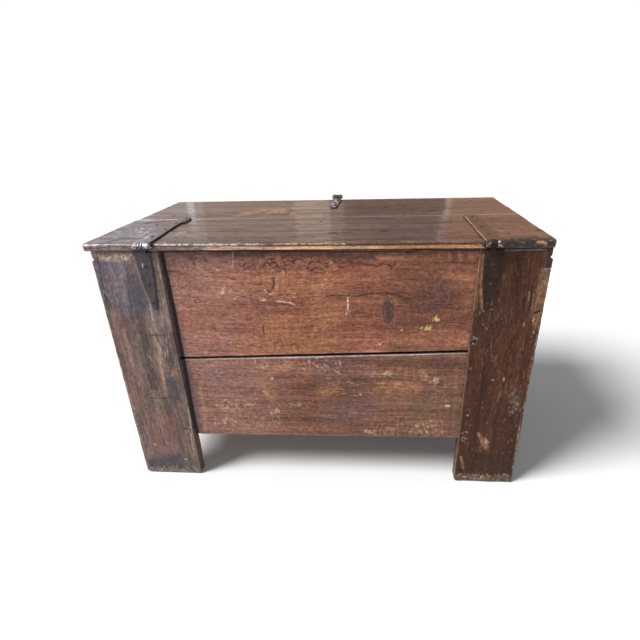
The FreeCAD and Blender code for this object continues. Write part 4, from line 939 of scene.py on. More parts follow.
# what the picture shows on each piece, from broad stains to single chips, and where light and shade are
# painted
# the line of the groove along the left stile's edge, where the stile's shadow on the boards is painted
# too
GROOVE_AND_SHADOW = ("160.8,251.6 163.4,264 167,279.5 170.6,297.4 174.6,315.3 179,340 "
          "182.6,357.9 185.9,375 190.4,402 194.8,425 197.8,434")
MARKS = {
    "rear_upper_board": {
        "dark brown right half": drawn("umber", 0.4, 46, 34, "410,268 412,340", "446,270 452,335",
            broken=0.5),
        "bluish stain": drawn("smoke", 0.45, 24, 18, "424,304 442,298", "436,286 446,294", broken=0.6),
        # painted light: a mauve wash for the cool light falling on the left part
        "painted cool light on the left": drawn("mauve", 0.36, 90, 70, "176,262 190,350", "210,262 220,350"),
        "red area under the carving": drawn("red", 0.4, 32, 20, "186,318 258,320", broken=0.4),
        "lighter wood above it": drawn("orange", 0.4, 16, 12, "222,279 262,285 300,288 326,283",
            "330,270 340,286", broken=0.5),
        "golden area": drawn("orange", 0.5, 22, 14, "272,326 330,322", "318,306 336,312",
            "240,346 330,346", broken=0.6),
        "red middle": drawn("red", 0.4, 26, 18, "345,276 388,280", "350,310 380,330", broken=0.5),
        "worn left end": drawn("tan", 0.4, 9, 7, "166,260 173,284 179,306", "190,262 206,278",
            broken=0.6),
        "grey top left": drawn("violet", 0.5, 12, 9, "190,258 232,257", "172,256 190,258", broken=0.4),
        "shadow band under the lid": drawn(
            "smoke", 0.8, 7, 5, "235,254.5 262,255", "284,254.5 330,255.5", "330,255 371,257",
            broken=0.35)
        + drawn("smoke", 0.5, 5, 5, "212,253.5 236,254", "262,254 284,254", "372,254 436,253.5",
            broken=0.5),
        # painted shade: a black line where the lid's shadow falls into the gap above the board
        "painted shade in the gap under the lid": drawn("coal", 0.95, 2.2, 1.2, "160,251.6 170,251.8 200,250.8 222,251.6 "
            "238,251.9 242,250.4 250,251.4 275,251.6 300,251.2 345,251.4 370,251.6 400,250.9 408,252 "
            "418,250.2 424,249.4 443,250.2 462,250 470,250.6 483,249.6", broken=0.1),
        "slate at the top middle": drawn("smoke", 0.5, 9, 6, "331,257 350,258 370,259", broken=0.4),
        "pale line from the top": drawn("pale", 0.55, 1.8, 1.4, "232.8,253 232.7,262 232.2,268",
            broken=0.5),
        "step in the grain at the left": drawn(
            "coal", 0.9, 1.2, 0.9, "169,271.8 173.5,270.6 174,271.8 179.5,271", depth=1.0, broken=0.1),
        "curl by the left end": drawn("dark", 0.75, 1.3, 1.0, "190.5,258.5 193.5,261 195,265 194.5,269",
            "199,257.5 205,258.6 207,262", depth=0.6),
        "carved ring": drawn("coal", 0.75, 1.2, 1.0, "244.8,263.6 243,267 243.6,270",
            "245.5,262.8 248.5,261.8 252,261.6 256.5,262.6 257.4,264.8", "254.6,266 255.2,268 254.2,271",
            "247,268 249,266.4 251,267", depth=0.8, broken=0.8)
        + strewn("coal", 0.7, 12, "243 261 258 274", 3.4, 20, 1.2, 60)
        + drawn("tan", 0.5, 1.2, 1.0, "246.5,266.4 248.5,264.4 251,265", "247,271 250,271.6",
            "257.6,266.6 258,270"),
        "carved arches": drawn("coal", 0.85, 1.7, 1.1, "264,265.6 265.5,263 268,262.6 269.5,264.8 "
            "271,262.8 274,262 276.6,264 277.5,266.4", "293,262.4 295,259.8 299,259 303,260.4 306,263",
            "309,263.6 313,261.6 318,262 323,264 328,263.2", depth=1.0, broken=0.25)
        + drawn("navy", 0.75, 1.5, 1.1, "265,260 269,259 274,259.6", "296,268.8 299,266.6 302,267.8 "
            "301,269.8", "311,271 315,268 320,268.6 324,271.6", "305,266 308,268.6",
            "284,262 286,265 284,268", depth=0.8),
        "carved scraps and specks, with painted cool light": strewn("dark", 0.8, 60, "261 258 333 273", 5.0, 10, 1.2, 45, 0.5)
        + strewn("tan", 0.6, 40, "262 260 333 276", 4.5, 5, 1.2, 30)
        + strewn("dark", 0.6, 34, "168 256 262 276", 4.5, 20, 1.1, 50, 0.4)
        + strewn("dark", 0.7, 34, "332 259 398 268", 5.0, 5, 1.2, 30, 0.4)
        + strewn("tan", 0.5, 40, "180 262 262 296", 5.0, 5, 1.1)
        + strewn("amber", 0.5, 90, "262 272 332 298", 4.0, 0, 0.9, 20)
        # painted light: mauve specks that go with the cool light painted on the left part
        + strewn("mauve", 0.5, 120, "176 262 262 345", 4.0, 5, 0.9, 22)
        + strewn("dark", 0.45, 110, "172 300 330 352", 5.0, 5, 0.9, 20)
        + strewn("orange", 0.45, 110, "190 300 400 352", 4.5, 0, 0.9, 20),
        "carved line to the right": drawn(
            "coal", 0.8, 1.2, 0.9, "333,262 341,263.4 348,262 355,263 361,262.6 366,265 371,264.5 "
            "376,266.4 382,264.2 390,264.6 391.6,270", depth=0.8, broken=0.2),
        "orange patches": drawn("amber", 0.5, 2.6, 2.4, "197,275 201,278.6", "316,287 325,284.6",
            "320,285 324,288", "331,262 336,268", broken=0.8),
        "chips by the ring": drawn("bone", 0.75, 1.4, 0.9, "222.4,288.6 224,291.6 221.4,293.6",
            "264.8,290 266.6,292", "270,294.2 272.6,292.8", "292,292.8 295.4,293.6",
            "216.8,269.8 219.4,270.4")
        + drawn("bone", 0.6, 1.1, 0.9, "224.2,285.4 224.3,288", "233.6,298.8 235.2,299",
            "276.8,284 277.4,288", "283.6,270.6 284,274")
        + drawn("tan", 0.8, 2.0, 1.4, "277,277 277.4,285")
        + drawn("coal", 0.9, 1.8, 1.0, "267.4,290.4 270.6,292.4", "273.6,279 274.2,284 272.6,289",
            depth=1.2, broken=0.1),
        "scratch with a dark side": drawn(
            "bone", 0.8, 1.2, 0.9, "260,300.6 266,299.6", "276.6,301.2 284,302 290,302.8 294.7,304.8",
            broken=0.35)
        + drawn("coal", 0.75, 1.3, 1.0, "281,303.6 287,304.8 293,306.6", broken=0.2),
        "edge of the redder wood": drawn(
            "tan", 0.55, 1.1, 0.9, "222,289.5 236,293 250,297.4 262,299.2", "294,297 318,295.2",
            broken=0.4)
        + drawn("dark", 0.5, 1.1, 0.9, "224,291.6 240,295.8 256,299.8", "296,299 320,296.6", broken=0.4),
        "small knots": drawn("coal", 0.75, 1.1, 0.9, "181,302 183,301.2 184.6,303 183,304.4 181.2,303.6",
            "194.6,300.4 198,300 200.4,301.6 198,302.8 195,302.4", depth=0.6, broken=0.7)
        + drawn("bone", 0.6, 1.0, 0.8, "196.6,301.2 198.2,301.4"),
        "upright cracks": drawn("coal", 0.8, 1.2, 0.9, "263.8,324.4 263.4,329 264.2,334.8", depth=0.8,
            broken=0.2)
        + drawn("dark", 0.45, 1.2, 1.0, "379,336 379.4,341", "381.6,336 381.2,341", "388,300 388,292"),
        "crack over the knot": drawn("coal", 0.85, 1.2, 0.9, "348.8,295.4 354,296.4 359,296.2 366,295 "
            "371.5,293.9 385,293.1 395.7,294.7 403,297 410.8,299.2", "326,296.4 338,295.4 348.8,295.4",
            depth=1.0, broken=0.25)
        + drawn("tan", 0.7, 1.0, 0.8, "326,293.2 340,293.6 347,293.4", "352,294.6 358,294.6",
            "386,295.2 394,297.4 396.8,302 396,306"),
        "white drips": drawn("bone", 1.0, 1.7, 0.8, "347.7,298.2 347.8,301.6", broken=0)
        + drawn("bone", 0.8, 1.1, 0.8, "348.2,303.4 347.8,308.6", "346.8,311.6 346.4,314", broken=0.4)
        + strewn("bone", 0.8, 12, "344 302 351 318", 1.4, 80, 0.8),
        "knot": drawn("violet", 0.5, 11, 6, "388,303 388.4,318", broken=0.2)
        + drawn("umber", 0.6, 6, 4, "388,304 388.6,318", broken=0.2)
        + drawn("coal", 0.7, 1.1, 0.9, "386,300 383,310.5 385,321 389.6,322.4 394,316.6 393.2,308 "
            "388.9,300.7", "387.2,307 386.8,315", "390.4,310 388.6,314.4 391.4,318", depth=0.8,
            broken=0.45),
        "yellow flecks": strewn("straw", 1.0, 16, "432.6 316.6 439.4 322.6", 2.6, -40, 1.0, 40)
        + strewn("straw", 1.0, 12, "425 326.6 431 329.8", 2.6, -25, 1.0, 30)
        + strewn("straw", 0.7, 6, "400 328 404 333", 1.8, -30, 0.8, 40)
        + strewn("straw", 0.6, 5, "419 326 424 330", 1.5, 0, 0.8, 60)
        + drawn("bone", 0.8, 1.0, 0.8, "377.8,342.6 379.8,344.6 382,342.4", broken=0.2),
        "saw marks": strewn("dark", 0.35, 150, "330 272 470 348", 9.0, 90, 0.9, 4)
        + strewn("tan", 0.3, 150, "320 266 470 350", 8.0, 90, 0.8, 4)
        + strewn("dark", 0.3, 50, "262 325 335 352", 8.0, 90, 0.9, 4),
        "patches at the top right": drawn(
            "tan", 0.55, 2.6, 2.0, "438.4,252.6 438.4,259", "449,253 450,260", "459,254 461,260",
            "472,253 473,262", broken=0.5)
        + drawn("brown", 0.6, 4, 3, "454,254 455,260", "465,254 466,261", broken=0.4)
        + drawn("dark", 0.7, 1.1, 0.9, "448.6,262.6 460,262 476,263.8", depth=0.5, broken=0.2)
        + drawn("amber", 0.3, 8, 6, "452,343 466,340", "448,274 470,280", broken=0.6),
        "rays by the right stile": strewn("tan", 0.5, 18, "462 292 474 312", 6.0, -35, 0.9, 8),
        # painted shadow of the left stile: a navy wash, and a black line darkening the sunk groove
        "groove and painted stile shadow at the left end": drawn("navy", 0.5, 9, 8, GROOVE_AND_SHADOW, broken=0.2)
        + drawn("pitch", 1.0, 4.4, 1.4, GROOVE_AND_SHADOW, depth=3.5, broken=0.05),
    },
    "rear_lower_board": {
        "violet middle": drawn("violet", 0.4, 24, 16, "336,412 366,408", "330,372 360,374",
            "215,376 250,380", broken=0.5),
        "olive right": drawn("olive", 0.45, 26, 18, "418,408 446,402", broken=0.4),
        "dark right end": drawn("umber", 0.55, 15, 10, "436,362 452,364")
        + drawn("umber", 0.4, 8, 6, "454,395 452,432", "380,362 430,361", broken=0.5),
        "grey upper left": drawn("grey", 0.35, 16, 12, "195,366 226,372", broken=0.5),
        "orange patches": drawn("orange", 0.5, 12, 9, "380,386 416,388", "262,382 272,392",
            "322,392 334,388", broken=0.6),
        "orange streaks": strewn("amber", 0.45, 60, "322 370 410 396", 7.0, 0, 1.1, 8)
        + strewn("orange", 0.45, 40, "255 366 330 396", 7.0, 0, 1.1, 10),
        # painted shadow: the navy wash along the left stile's edge
        "left end": drawn("navy", 0.55, 9, 7, "189,372 194,398 199,428", broken=0.2)
        + drawn("tan", 0.5, 3.6, 3, "200,384 203,404 206,430", broken=0.5),
        # painted light: a mauve wash for the cool light falling on the left part
        "painted cool light on the left": drawn("mauve", 0.3, 70, 60, "190,366 205,430", "240,366 250,430"),
        # painted highlight: a silver line along the lower board's lit top arris
        "painted highlight on the upper arris": drawn("silver", 0.9, 1.3, 0.8, "185,358.8 251.5,357.7 296,357.3 320,357 "
            "372.6,355.5 412,354.7 466,352.8", broken=0.35),
        "pale knocks at the left": strewn("pale", 0.9, 46, "215 400 243 411", 2.2, 25, 0.9, 40, 0.2)
        + strewn("pale", 0.85, 22, "243 393 260 414", 2.4, 60, 0.9, 25, 0.2)
        + strewn("pale", 0.9, 14, "266 406 283 417", 3.4, 68, 0.9, 10, 0.2)
        + strewn("pale", 0.8, 26, "215 415 236 426", 2.2, 10, 0.9, 40)
        + strewn("tan", 0.85, 60, "233 414 263 432", 2.2, 45, 0.9, 40)
        + strewn("pale", 0.8, 10, "269 418 280 428", 2.4, 50)
        + strewn("pale", 0.7, 12, "290 401 303 408", 2.0, 0, 0.9, 40)
        + strewn("pale", 0.6, 12, "260 387 272 399", 2.2, 60, 0.8, 40),
        "pale knocks under the upper board": strewn("pale", 0.8, 30, "252 359 277 369", 2.4, 20, 0.9, 45)
        + strewn("pale", 0.8, 18, "279 358 294 369", 2.4, 50, 0.9, 45)
        + strewn("bone", 0.7, 34, "304 358 345 374", 2.8, 42, 0.9, 18)
        + strewn("coal", 0.7, 20, "302 357 332 365", 3.0, 0, 1.0, 40, 0.6),
        "single spots": drawn("bone", 0.9, 1.6, 0.9, "360,393.6 361,394.6", "271.6,378 272.4,379")
        + drawn("straw", 1.0, 1.8, 0.8, "445.6,405.9 449,405.9", broken=0)
        + strewn("tan", 0.7, 90, "210 362 452 434", 2.4, 20, 0.9, 60),
        "bare patches at the right": drawn("tan", 0.75, 7, 4, "422,373.4 426,378", broken=0.5)
        + strewn("pale", 0.85, 18, "430 375 440 385", 5.0, -55, 1.2, 15)
        + strewn("pale", 0.7, 26, "372 372 406 377", 4.0, 0, 1.0),
        "mottled bottom": strewn("pale", 0.8, 22, "364 428 375 436", 2.0, 60, 0.9, 40)
        + strewn("tan", 0.7, 60, "372 424 398 437", 2.4, 85, 0.9, 20)
        + strewn("pale", 0.7, 90, "402 420 442 438", 2.4, 80)
        + strewn("dark", 0.5, 60, "374 422 442 437", 3.0, 85, 0.9, 15)
        + strewn("tan", 0.6, 70, "216 424 330 437", 2.2, 10, 0.9, 50),
        "saw marks": strewn("tan", 0.35, 120, "372 376 456 436", 7.0, 90, 0.8, 4)
        + strewn("dark", 0.35, 110, "340 362 456 436", 8.0, 90, 0.9, 4),
        "pale right end": drawn("tan", 0.25, 3.4, 3, "457,368 455,400 453,436", broken=0.9),
        # painted shadow of the left stile: a navy wash, and a black line darkening the sunk groove
        "groove and painted stile shadow at the left end": drawn("navy", 0.5, 9, 8, GROOVE_AND_SHADOW, broken=0.2)
        + drawn("pitch", 1.0, 4.0, 1.4, GROOVE_AND_SHADOW, depth=3.5, broken=0.05),
    },
    "rear_left_stile": {
        "slate upper left": drawn("navy", 0.6, 11, 8, "96,263 101,284 107,306", broken=0.4)
        + strewn("silver", 0.4, 26, "94 262 110 312", 7.0, 60, 1.0),
        # painted light: a steel blue wash for the cool light on the stile's upper part
        "steel blue upper part, painted cool light": drawn("steel", 0.42, 30, 20, "106,262 120,280 132,304", broken=0.4),
        "grey curls": drawn("grey", 0.45, 16, 12, "110,270 124,268", "112,284 122,300", broken=0.6)
        + strewn("tan", 0.6, 60, "104 258 134 300", 5.0, 60, 1.0, 45)
        + strewn("dark", 0.5, 50, "100 262 134 308", 5.0, 65, 1.1, 40),
        "worn top": drawn("pale", 0.6, 8, 5, "98,257 128,257.4", broken=0.7)
        + strewn("bone", 0.6, 34, "95 253 131 263", 4.0, 20, 1.1, 40)
        + strewn("dark", 0.6, 26, "95 252 131 266", 4.0, 20, 1.1, 50),
        # painted shade: a black line where the lid's shadow falls into the gap above the stile
        "painted shade in the gap under the lid": drawn("coal", 0.9, 2.0, 1.2, "92,251.4 110,251 133,251.4",
            "147,251.6 160,251.6", broken=0.2),
        # painted shadow of the lower strap: navy washes on the stile
        "painted strap shadow": drawn("navy", 0.7, 12, 6, "131,279 135,304", broken=0.25)
        + drawn("navy", 0.65, 8, 4, "141,288 143.6,305", broken=0.25),
        "dark streak down the middle": drawn(
            "umber", 0.8, 9, 5, "138,313 144,340 150,366 154,386", broken=0.35)
        + drawn("umber", 0.55, 7, 6, "110,318 120,352 130,392", "126,318 132,340", "146,390 153,420",
            broken=0.6),
        "tan streaks": drawn("dust", 0.4, 9, 8, "113,314 121,342 129,370", broken=0.6)
        + drawn("dust", 0.75, 3.6, 2.6, "123,331 129,350 135,374", broken=0.4)
        + drawn("dust", 0.45, 9, 7, "152,258 158,286 164,322", "151,318 156,346 160,372", broken=0.5)
        + drawn("tan", 0.6, 4.4, 3.6, "158,345 162,370 165,394", "158,399 162,412 165,422", broken=0.4)
        + drawn("orange", 0.45, 1.6, 1.4, "145,399 147.5,410 149,418", "139,381 143,392", broken=0.9)
        + drawn("orange", 0.25, 5, 4, "183,420 187,444", "180,405 184,420", broken=0.9)
        + drawn("honey", 0.5, 2.2, 2.0, "187,398 191,424", "190,428 195,462", broken=0.7)
        + drawn("umber", 0.45, 7, 5, "166,345 174,372 178,398", "168,404 172,430", "150,372 160,410",
            "176,430 182,452", broken=0.8),
        "warm middle": drawn("red", 0.3, 20, 14, "116,322 128,372 140,420", broken=0.6)
        + drawn("umber", 0.35, 8, 6, "112,324 124,374", "150,338 160,388 168,428", broken=0.9),
        "fine hair": strewn("bone", 0.4, 130, "148 256 176 372", 7.0, 77, 0.8, 8)
        + strewn("dust", 0.5, 110, "108 310 140 420", 8.0, 75, 0.9, 8)
        + strewn("dark", 0.6, 190, "108 310 186 450", 9.0, 76, 0.9, 7)
        + strewn("dust", 0.4, 70, "140 380 194 458", 8.0, 78, 0.9, 8),
        "dark patch by the edge": drawn("umber", 0.75, 6, 2.6, "171.6,334.6 175.4,351", broken=0.2),
        "orange patch": drawn("orange", 0.5, 5, 4, "173,371 177,378", broken=0.9)
        + strewn("pale", 0.5, 9, "170 366 181 381", 2.6, 75, 0.9, 20),
        "slate patches low": drawn("navy", 0.5, 10, 8, "171,383 174,396", "118,358 124,378", broken=0.5)
        + drawn("navy", 0.85, 12, 8, "154,462 180,459.6 190,464")
        + drawn("navy", 0.55, 6, 5, "150,462 156,470", "134,404 142,430", broken=0.4),
        "reddish low middle": drawn("red", 0.4, 13, 10, "150,418 160,452", "168,420 174,446", broken=0.5)
        + drawn("red", 0.35, 8, 7, "120,366 131,404", broken=0.5),
        "cracks": drawn("coal", 0.85, 1.1, 0.9, "149.6,334.8 158,335.6 167,335.2",
            "151,397.8 159,398.4 167.6,398", depth=0.8, broken=0.2)
        + drawn("coal", 0.75, 1.3, 1.0, "141,352 146,368 152,387", "159.5,404 164,417",
            "128.4,290 131,305 134,322", "188.6,433 190.6,446 194.6,458", "160,428 165,446", depth=0.6,
            broken=0.4),
        "hole": drawn("coal", 1.0, 1.9, 0.8, "185,429 187.2,429.3", depth=1.5, broken=0),
        "pale spots": drawn("bone", 0.9, 1.4, 0.9, "185,459 186.6,459.6", "128,399 129,400",
            "154.6,444 155.4,445")
        + strewn("pale", 0.7, 12, "128 400 138 414", 1.6, 60, 0.8, 40),
        "olive foot": drawn("olive", 0.6, 11, 7, "188,456 192,468", broken=0.4)
        + drawn("grey", 0.6, 4, 3, "152,469.6 197,472", broken=0.4)
        + strewn("pale", 0.6, 90, "150 466 198 473.6", 1.6, 5, 0.8, 60)
        + strewn("coal", 0.7, 40, "148 463 198 473", 4.0, 10, 1.2, 50),
        "knocked left arris": drawn("pale", 0.6, 1.3, 1.0, "97,276 111,330 124,378 134,412 143,448 "
            "148,466", broken=1.0),
        "pale line by the strap": drawn("dust", 0.8, 0.9, 0.8, "135,262 144.6,290 149.4,303 153.6,309.4 "
            "156.8,310.4", broken=0.35),
        "right arris": drawn("silver", 0.8, 1.6, 1.1, "160.4,262 169.4,298 175,325", broken=0.5)
        + drawn("dust", 0.9, 1.7, 1.1, "174.6,325 180,352 186.8,393 191.6,430", broken=0.6)
        + strewn("umber", 0.6, 40, "168 380 192 462", 5.0, 76, 1.2, 12),
    },
    "rear_right_stile": {
        "dark brown": drawn("umber", 0.45, 20, 14, "510,258 504,300 500,330", "480,318 486,340",
            "515,420 508,460", "480,380 478,420", broken=0.4),
        "inner strip": drawn("tan", 0.35, 4, 3, "480.6,256 477.6,284 475,308", broken=0.5)
        + drawn("pale", 0.6, 0.9, 0.8, "483.6,254.6 481,284 481.9,309", broken=0.7)
        + drawn("tan", 0.6, 3, 2, "480.6,290 481.6,303", broken=0.4),
        # painted light: the amber line stands in for the stile's inner side, lit from the left; the
        # silver line below follows the same edge
        "painted light on the inner side": drawn("amber", 0.85, 1.4, 0.9, "479.6,251 475.4,274 471.6,302 468,330",
            "465.8,362 464.6,372 463,385", broken=0.25)
        + drawn("silver", 0.6, 1.0, 0.8, "458.4,404 457,416 456,437", broken=0.4),
        "chips round the strap's tip": drawn(
            "bone", 0.6, 1.1, 0.8, "482.6,310.4 485,311.6", "488.6,309.6 492.6,309.2",
            "486.4,328 487,329", "483,324 483.4,325", "492.6,296 491.4,305")
        + drawn("umber", 0.5, 9, 7, "483,314 484,330", "490,312 492,322", broken=0.5),
        "black chip at the joint": drawn(
            "coal", 0.9, 1.4, 0.9, "468.8,342.8 472,342.6 475,340.8", "467.4,337 470,336.4", depth=1.2,
            broken=0.15)
        + drawn("bone", 0.75, 1.0, 0.8, "475.8,338.4 477.4,338.8", "472.6,343.6 474,344",
            "474.4,337 475,337.4", broken=0.2),
        "brown band at the right": drawn("tan", 0.45, 11, 7, "546,273 541,300 537,314", broken=0.5)
        + strewn("tan", 0.5, 40, "532 270 548 330", 8.0, 99, 0.9, 6),
        "crack at the right": drawn("coal", 0.85, 1.4, 1.0, "534,278 531.8,296 529.6,314", depth=1.0,
            broken=0.2)
        + drawn("pale", 0.7, 1.0, 0.8, "529.4,291.6 528.4,300", "524,322 523.6,326"),
        "chip in the right arris": drawn(
            "coal", 0.9, 2.2, 1.2, "534.4,313.4 540.6,311", depth=1.5, broken=0.1)
        + drawn("bone", 0.6, 1.1, 0.9, "532.6,320.6 535,318.8", "533,331 534,333", broken=0.4),
        "top arris and painted shade under the lid": drawn("silver", 0.7, 1.1, 0.9, "505,250.4 546,249.6", broken=0.4)
        # painted shade: the black line above the arris, in the gap under the lid
        + drawn("coal", 0.9, 1.8, 1.2, "484,249.6 504,249.4 548,247.6", broken=0.1),
        "fine hair": strewn("tan", 0.25, 150, "466 260 536 400", 9.0, 96, 0.8, 5)
        + strewn("dark", 0.5, 130, "470 256 540 460", 10.0, 96, 0.9, 5)
        + strewn("red", 0.25, 60, "476 300 530 440", 12.0, 96, 1.6, 5)
        + strewn("tan", 0.5, 60, "456 400 522 474", 2.4, 90, 0.8, 30)
        + strewn("pale", 0.5, 60, "462 258 546 470", 1.3, 90, 0.7, 40)
        + strewn("umber", 0.4, 90, "462 300 530 470", 6.0, 96, 1.4, 12),
        "arched scratches": drawn("tan", 0.4, 1.0, 0.9, "490.8,340 491.4,352 492.8,361",
            "493.6,356 496,360 497,355", "500,392 498,402", "502,388 500.6,396", broken=0.5),
        "screw holes": drawn("bone", 0.75, 1.1, 0.8, "492.4,379.8 493.2,380.2", "504,378 503.6,380.6",
            "467.2,415 468,415.6", "465.6,431.8 466.8,432.2", broken=0.1)
        + drawn("coal", 0.9, 1.2, 0.9, "493.6,381 494,381.4", "466,433.2 467,433.4",
            "468.4,414.2 469,414.6", broken=0),
        "scuffs at the right": drawn("olive", 0.5, 11, 8, "512,393 515,400", broken=0.6)
        + strewn("dust", 0.6, 34, "506 386 522 402", 1.8, -20, 0.8, 60)
        + strewn("bone", 0.45, 40, "507 400 526 416", 1.6, 0, 0.8, 70)
        + strewn("coal", 0.6, 44, "504 384 526 418", 2.4, 0, 0.9, 60)
        + drawn("coal", 0.9, 2.6, 1.4, "522.6,411 525.6,414.6", depth=2.5, broken=0.1),
        "wood patch": drawn("tan", 0.6, 3.0, 2.2, "478.4,433.6 482,440.6", broken=0.5)
        + drawn("tan", 0.75, 5.4, 3, "483.6,442 486,446.4", broken=0.4)
        + drawn("brown", 0.6, 2.4, 1.6, "487,437 489.6,443 488,449", broken=0.2)
        + strewn("bone", 0.6, 8, "484 438 490 446", 1.6, 60, 0.9, 40),
        "pale specks low left": strewn("bone", 0.5, 12, "458 435 467 443", 1.1, 50, 0.7, 60)
        + drawn("tan", 0.8, 2.0, 1.4, "460.8,457 462.4,463 463.2,468.6"),
        "dark foot": drawn("umber", 0.65, 15, 10, "468,464 506,465")
        + drawn("coal", 0.4, 6, 5, "476,456 492,457", broken=0.5),
        "worn grey foot": drawn("olive", 0.85, 7.5, 3.4, "453,477 484,479 511,480")
        + drawn("olive", 0.7, 4, 3, "455,452 453,474", broken=0.4)
        + strewn("dust", 0.8, 110, "453 474 511 483", 1.4, 0, 0.8, 70)
        + strewn("bone", 0.7, 40, "453 474 511 483", 1.2, 0, 0.8, 70)
        + strewn("coal", 0.7, 90, "453 468 511 483", 2.0, 0, 0.9, 60),
        "specks on the right arris": drawn(
            "pale", 0.6, 1.2, 1.0, "541,318 533,356 527,392 524,408", "520,424 513,468", broken=1.0),
    },
    "left_end_top_rail": {
        "grey top": drawn("silver", 0.7, 8, 4, "90,253.6 100,255.6", broken=0.5),
        "slate end": drawn("steel", 0.85, 13, 4, "92,268 102,270", broken=0.2),
    },
    "right_end_top_rail": {
        # painted shade: black over the rail's end and notch, turned from the light
        "painted shade on the rail end": drawn("coal", 0.9, 22, 6, "549,250 551,268", broken=0.1),
        "brown upper step": drawn("brown", 0.6, 4, 3, "546,252 548,255", broken=0.5),
        "light line": drawn("silver", 0.9, 1.6, 1.0, "544,269.4 554,268.8", broken=0.1),
    },
    "lid_rear_plank": {
        "reddish right": drawn("red", 0.35, 24, 20, "450,230 530,230", broken=0.4)
        + strewn("dark", 0.5, 50, "450 216 548 240", 10.0, 8, 0.8, 8)
        + strewn("tan", 0.35, 24, "450 216 548 238", 8.0, 8, 0.6, 8),
        "greenish dark middle": drawn("coal", 0.18, 24, 22, "360,228 440,226", "355,238 430,236",
            broken=0.5)
        + strewn("dark", 0.5, 60, "340 216 450 242", 12.0, 3, 0.8, 6),
        "slate left corner": drawn("slate", 0.45, 30, 18, "98,242 130,231 150,222", broken=0.5)
        + strewn("bone", 0.5, 40, "92 226 150 243", 5.0, -20, 1.0)
        + strewn("navy", 0.5, 40, "88 224 150 246", 8.0, -15, 1.1, 20),
        "bright scuffs": strewn("bone", 0.8, 16, "136 229 150 238", 2.6, -30, 0.8, 40)
        + strewn("bone", 0.7, 12, "164 230 190 234", 3.4, 0, 0.6, 15)
        + strewn("tan", 0.35, 60, "150 222 330 244", 9.0, 0, 0.5, 8)
        + strewn("dark", 0.6, 160, "150 218 500 244", 14.0, 0, 0.8, 6),
        "near edge": drawn("umber", 0.75, 7, 1.6, "84,247.6 130,247.3 195,246.6 310,245.6 430,244.8 "
            "506,244"),
        "amber near edge": drawn("honey", 1.0, 5.2, 0.9, "205,248.8 250,249 310,248.8 380,248.4",
            broken=0.15)
        + drawn("blaze", 1.0, 4.2, 1.0, "268,248.8 310,248.6 330,248.4", broken=0.2)
        + drawn("gold", 0.8, 1.6, 1.0, "248,249 292,249.4", broken=0.4)
        + drawn("amber", 1.0, 4.8, 1.0, "380,248.2 430,247.6 484,247")
        + drawn("dust", 0.85, 4.4, 1.4, "86,248.4 130,248.4", "150,248.6 205,248.8", broken=0.5)
        + strewn("umber", 0.6, 60, "150 246.4 484 250", 4.0, 0, 0.8, 12, 0.3)
        + strewn("bone", 0.7, 26, "190 246.6 330 249", 3.0, 0, 0.8, 10),
        "whitish near arris": drawn("frost", 0.95, 1.8, 1.1, "84,245.2 110,245 130,244.8", broken=0.5)
        + drawn("frost", 0.9, 1.4, 1.0, "152,244.8 195,244.9 262,244.6", broken=0.85)
        + drawn("bone", 0.75, 1.2, 1.0, "262,244.5 300,244.3 345,244", broken=0.9)
        + strewn("bone", 0.8, 30, "152 242.6 330 245.4", 2.6, 0, 0.8, 15)
        + drawn("coal", 0.8, 1.1, 0.9, "262,245.6 310,245.4 380,244.8 430,243.8 482,243", broken=0.4)
        + drawn("dark", 0.8, 1.2, 0.9, "152,246.2 205,246.2 262,245.9", broken=0.7)
        + strewn("coal", 0.8, 30, "152 243 500 246.4", 4.0, 0, 0.9, 12, 0.6)
        + strewn("dark", 0.8, 26, "84 245 130 250.6", 4.0, 0, 1.1, 15),
        "burnt right corner": drawn("coal", 0.95, 9.5, 3, "506,244.4 528,243.8 558,243.4", broken=0.15)
        + drawn("coal", 0.8, 3, 1.6, "504,240.8 530,239.8 552,239.6", broken=0.4)
        + drawn("coal", 0.6, 5, 4, "512,238.4 536,237.6", broken=0.5)
        + drawn("tan", 0.9, 2.6, 1.4, "538,242.6 542,242.2 546,243.6")
        + strewn("tan", 0.6, 14, "506 239 558 247", 4.0, 8, 0.8, 20),
        "nail holes": drawn("coal", 0.9, 1.8, 1.0, "537.4,230 538.8,230.2", "548,234 549,234.4",
            depth=0.8, broken=0),
        # painted shadow: a black line on the lid along the left strap's shaded side
        "painted shadow by the left strap": drawn(
            "coal", 0.9, 2.0, 1.2, "149,247 158,240 170,230 182,221.6", broken=0.15),
        "cracks": drawn("coal", 0.75, 1.1, 0.9, "96,246.4 112,241 128,238", "140,224 160,221.6 186,220.6",
            "330,233 352,232.4", "380,231.6 388,231", depth=0.5),
    },
    "lid_front_plank": {
        "dark middle": drawn("coal", 0.25, 14, 12, "350,208 440,206", broken=0.5)
        + strewn("coal", 0.5, 50, "340 202 448 216", 12.0, 0, 0.8, 4),
        "orange streaks": drawn("amber", 0.5, 4, 3.4, "241,214 262,211 286,210.4", broken=0.6)
        + strewn("amber", 0.5, 22, "236 206 300 216", 9.0, -3, 0.9, 3)
        + strewn("tan", 0.4, 30, "196 204 330 217", 9.0, 0, 0.8, 3)
        + strewn("dark", 0.5, 60, "150 203 520 217", 12.0, 0, 0.9, 3),
        "reddish ends": drawn("red", 0.35, 14, 10, "455,206 505,207", broken=0.4),
        "joint": drawn("bone", 0.8, 1.0, 0.8, "138,220.3 200,219.7 300,218.3", broken=0.45)
        + drawn("tan", 0.8, 1.0, 0.8, "300,218.2 400,216.5 455,215.4 518,213.7", broken=0.4),
    },
    "upper_strap_left": {
        # painted shade: a black line along the strap's shaded right side
        "painted shade on the right edge": drawn("coal", 0.85, 2.2, 1.4, "150,246 160,238 172,229 184,221.4 192,217.4",
            broken=0.15),
        # painted highlight: silver and bluish white where the strap's near end catches the light
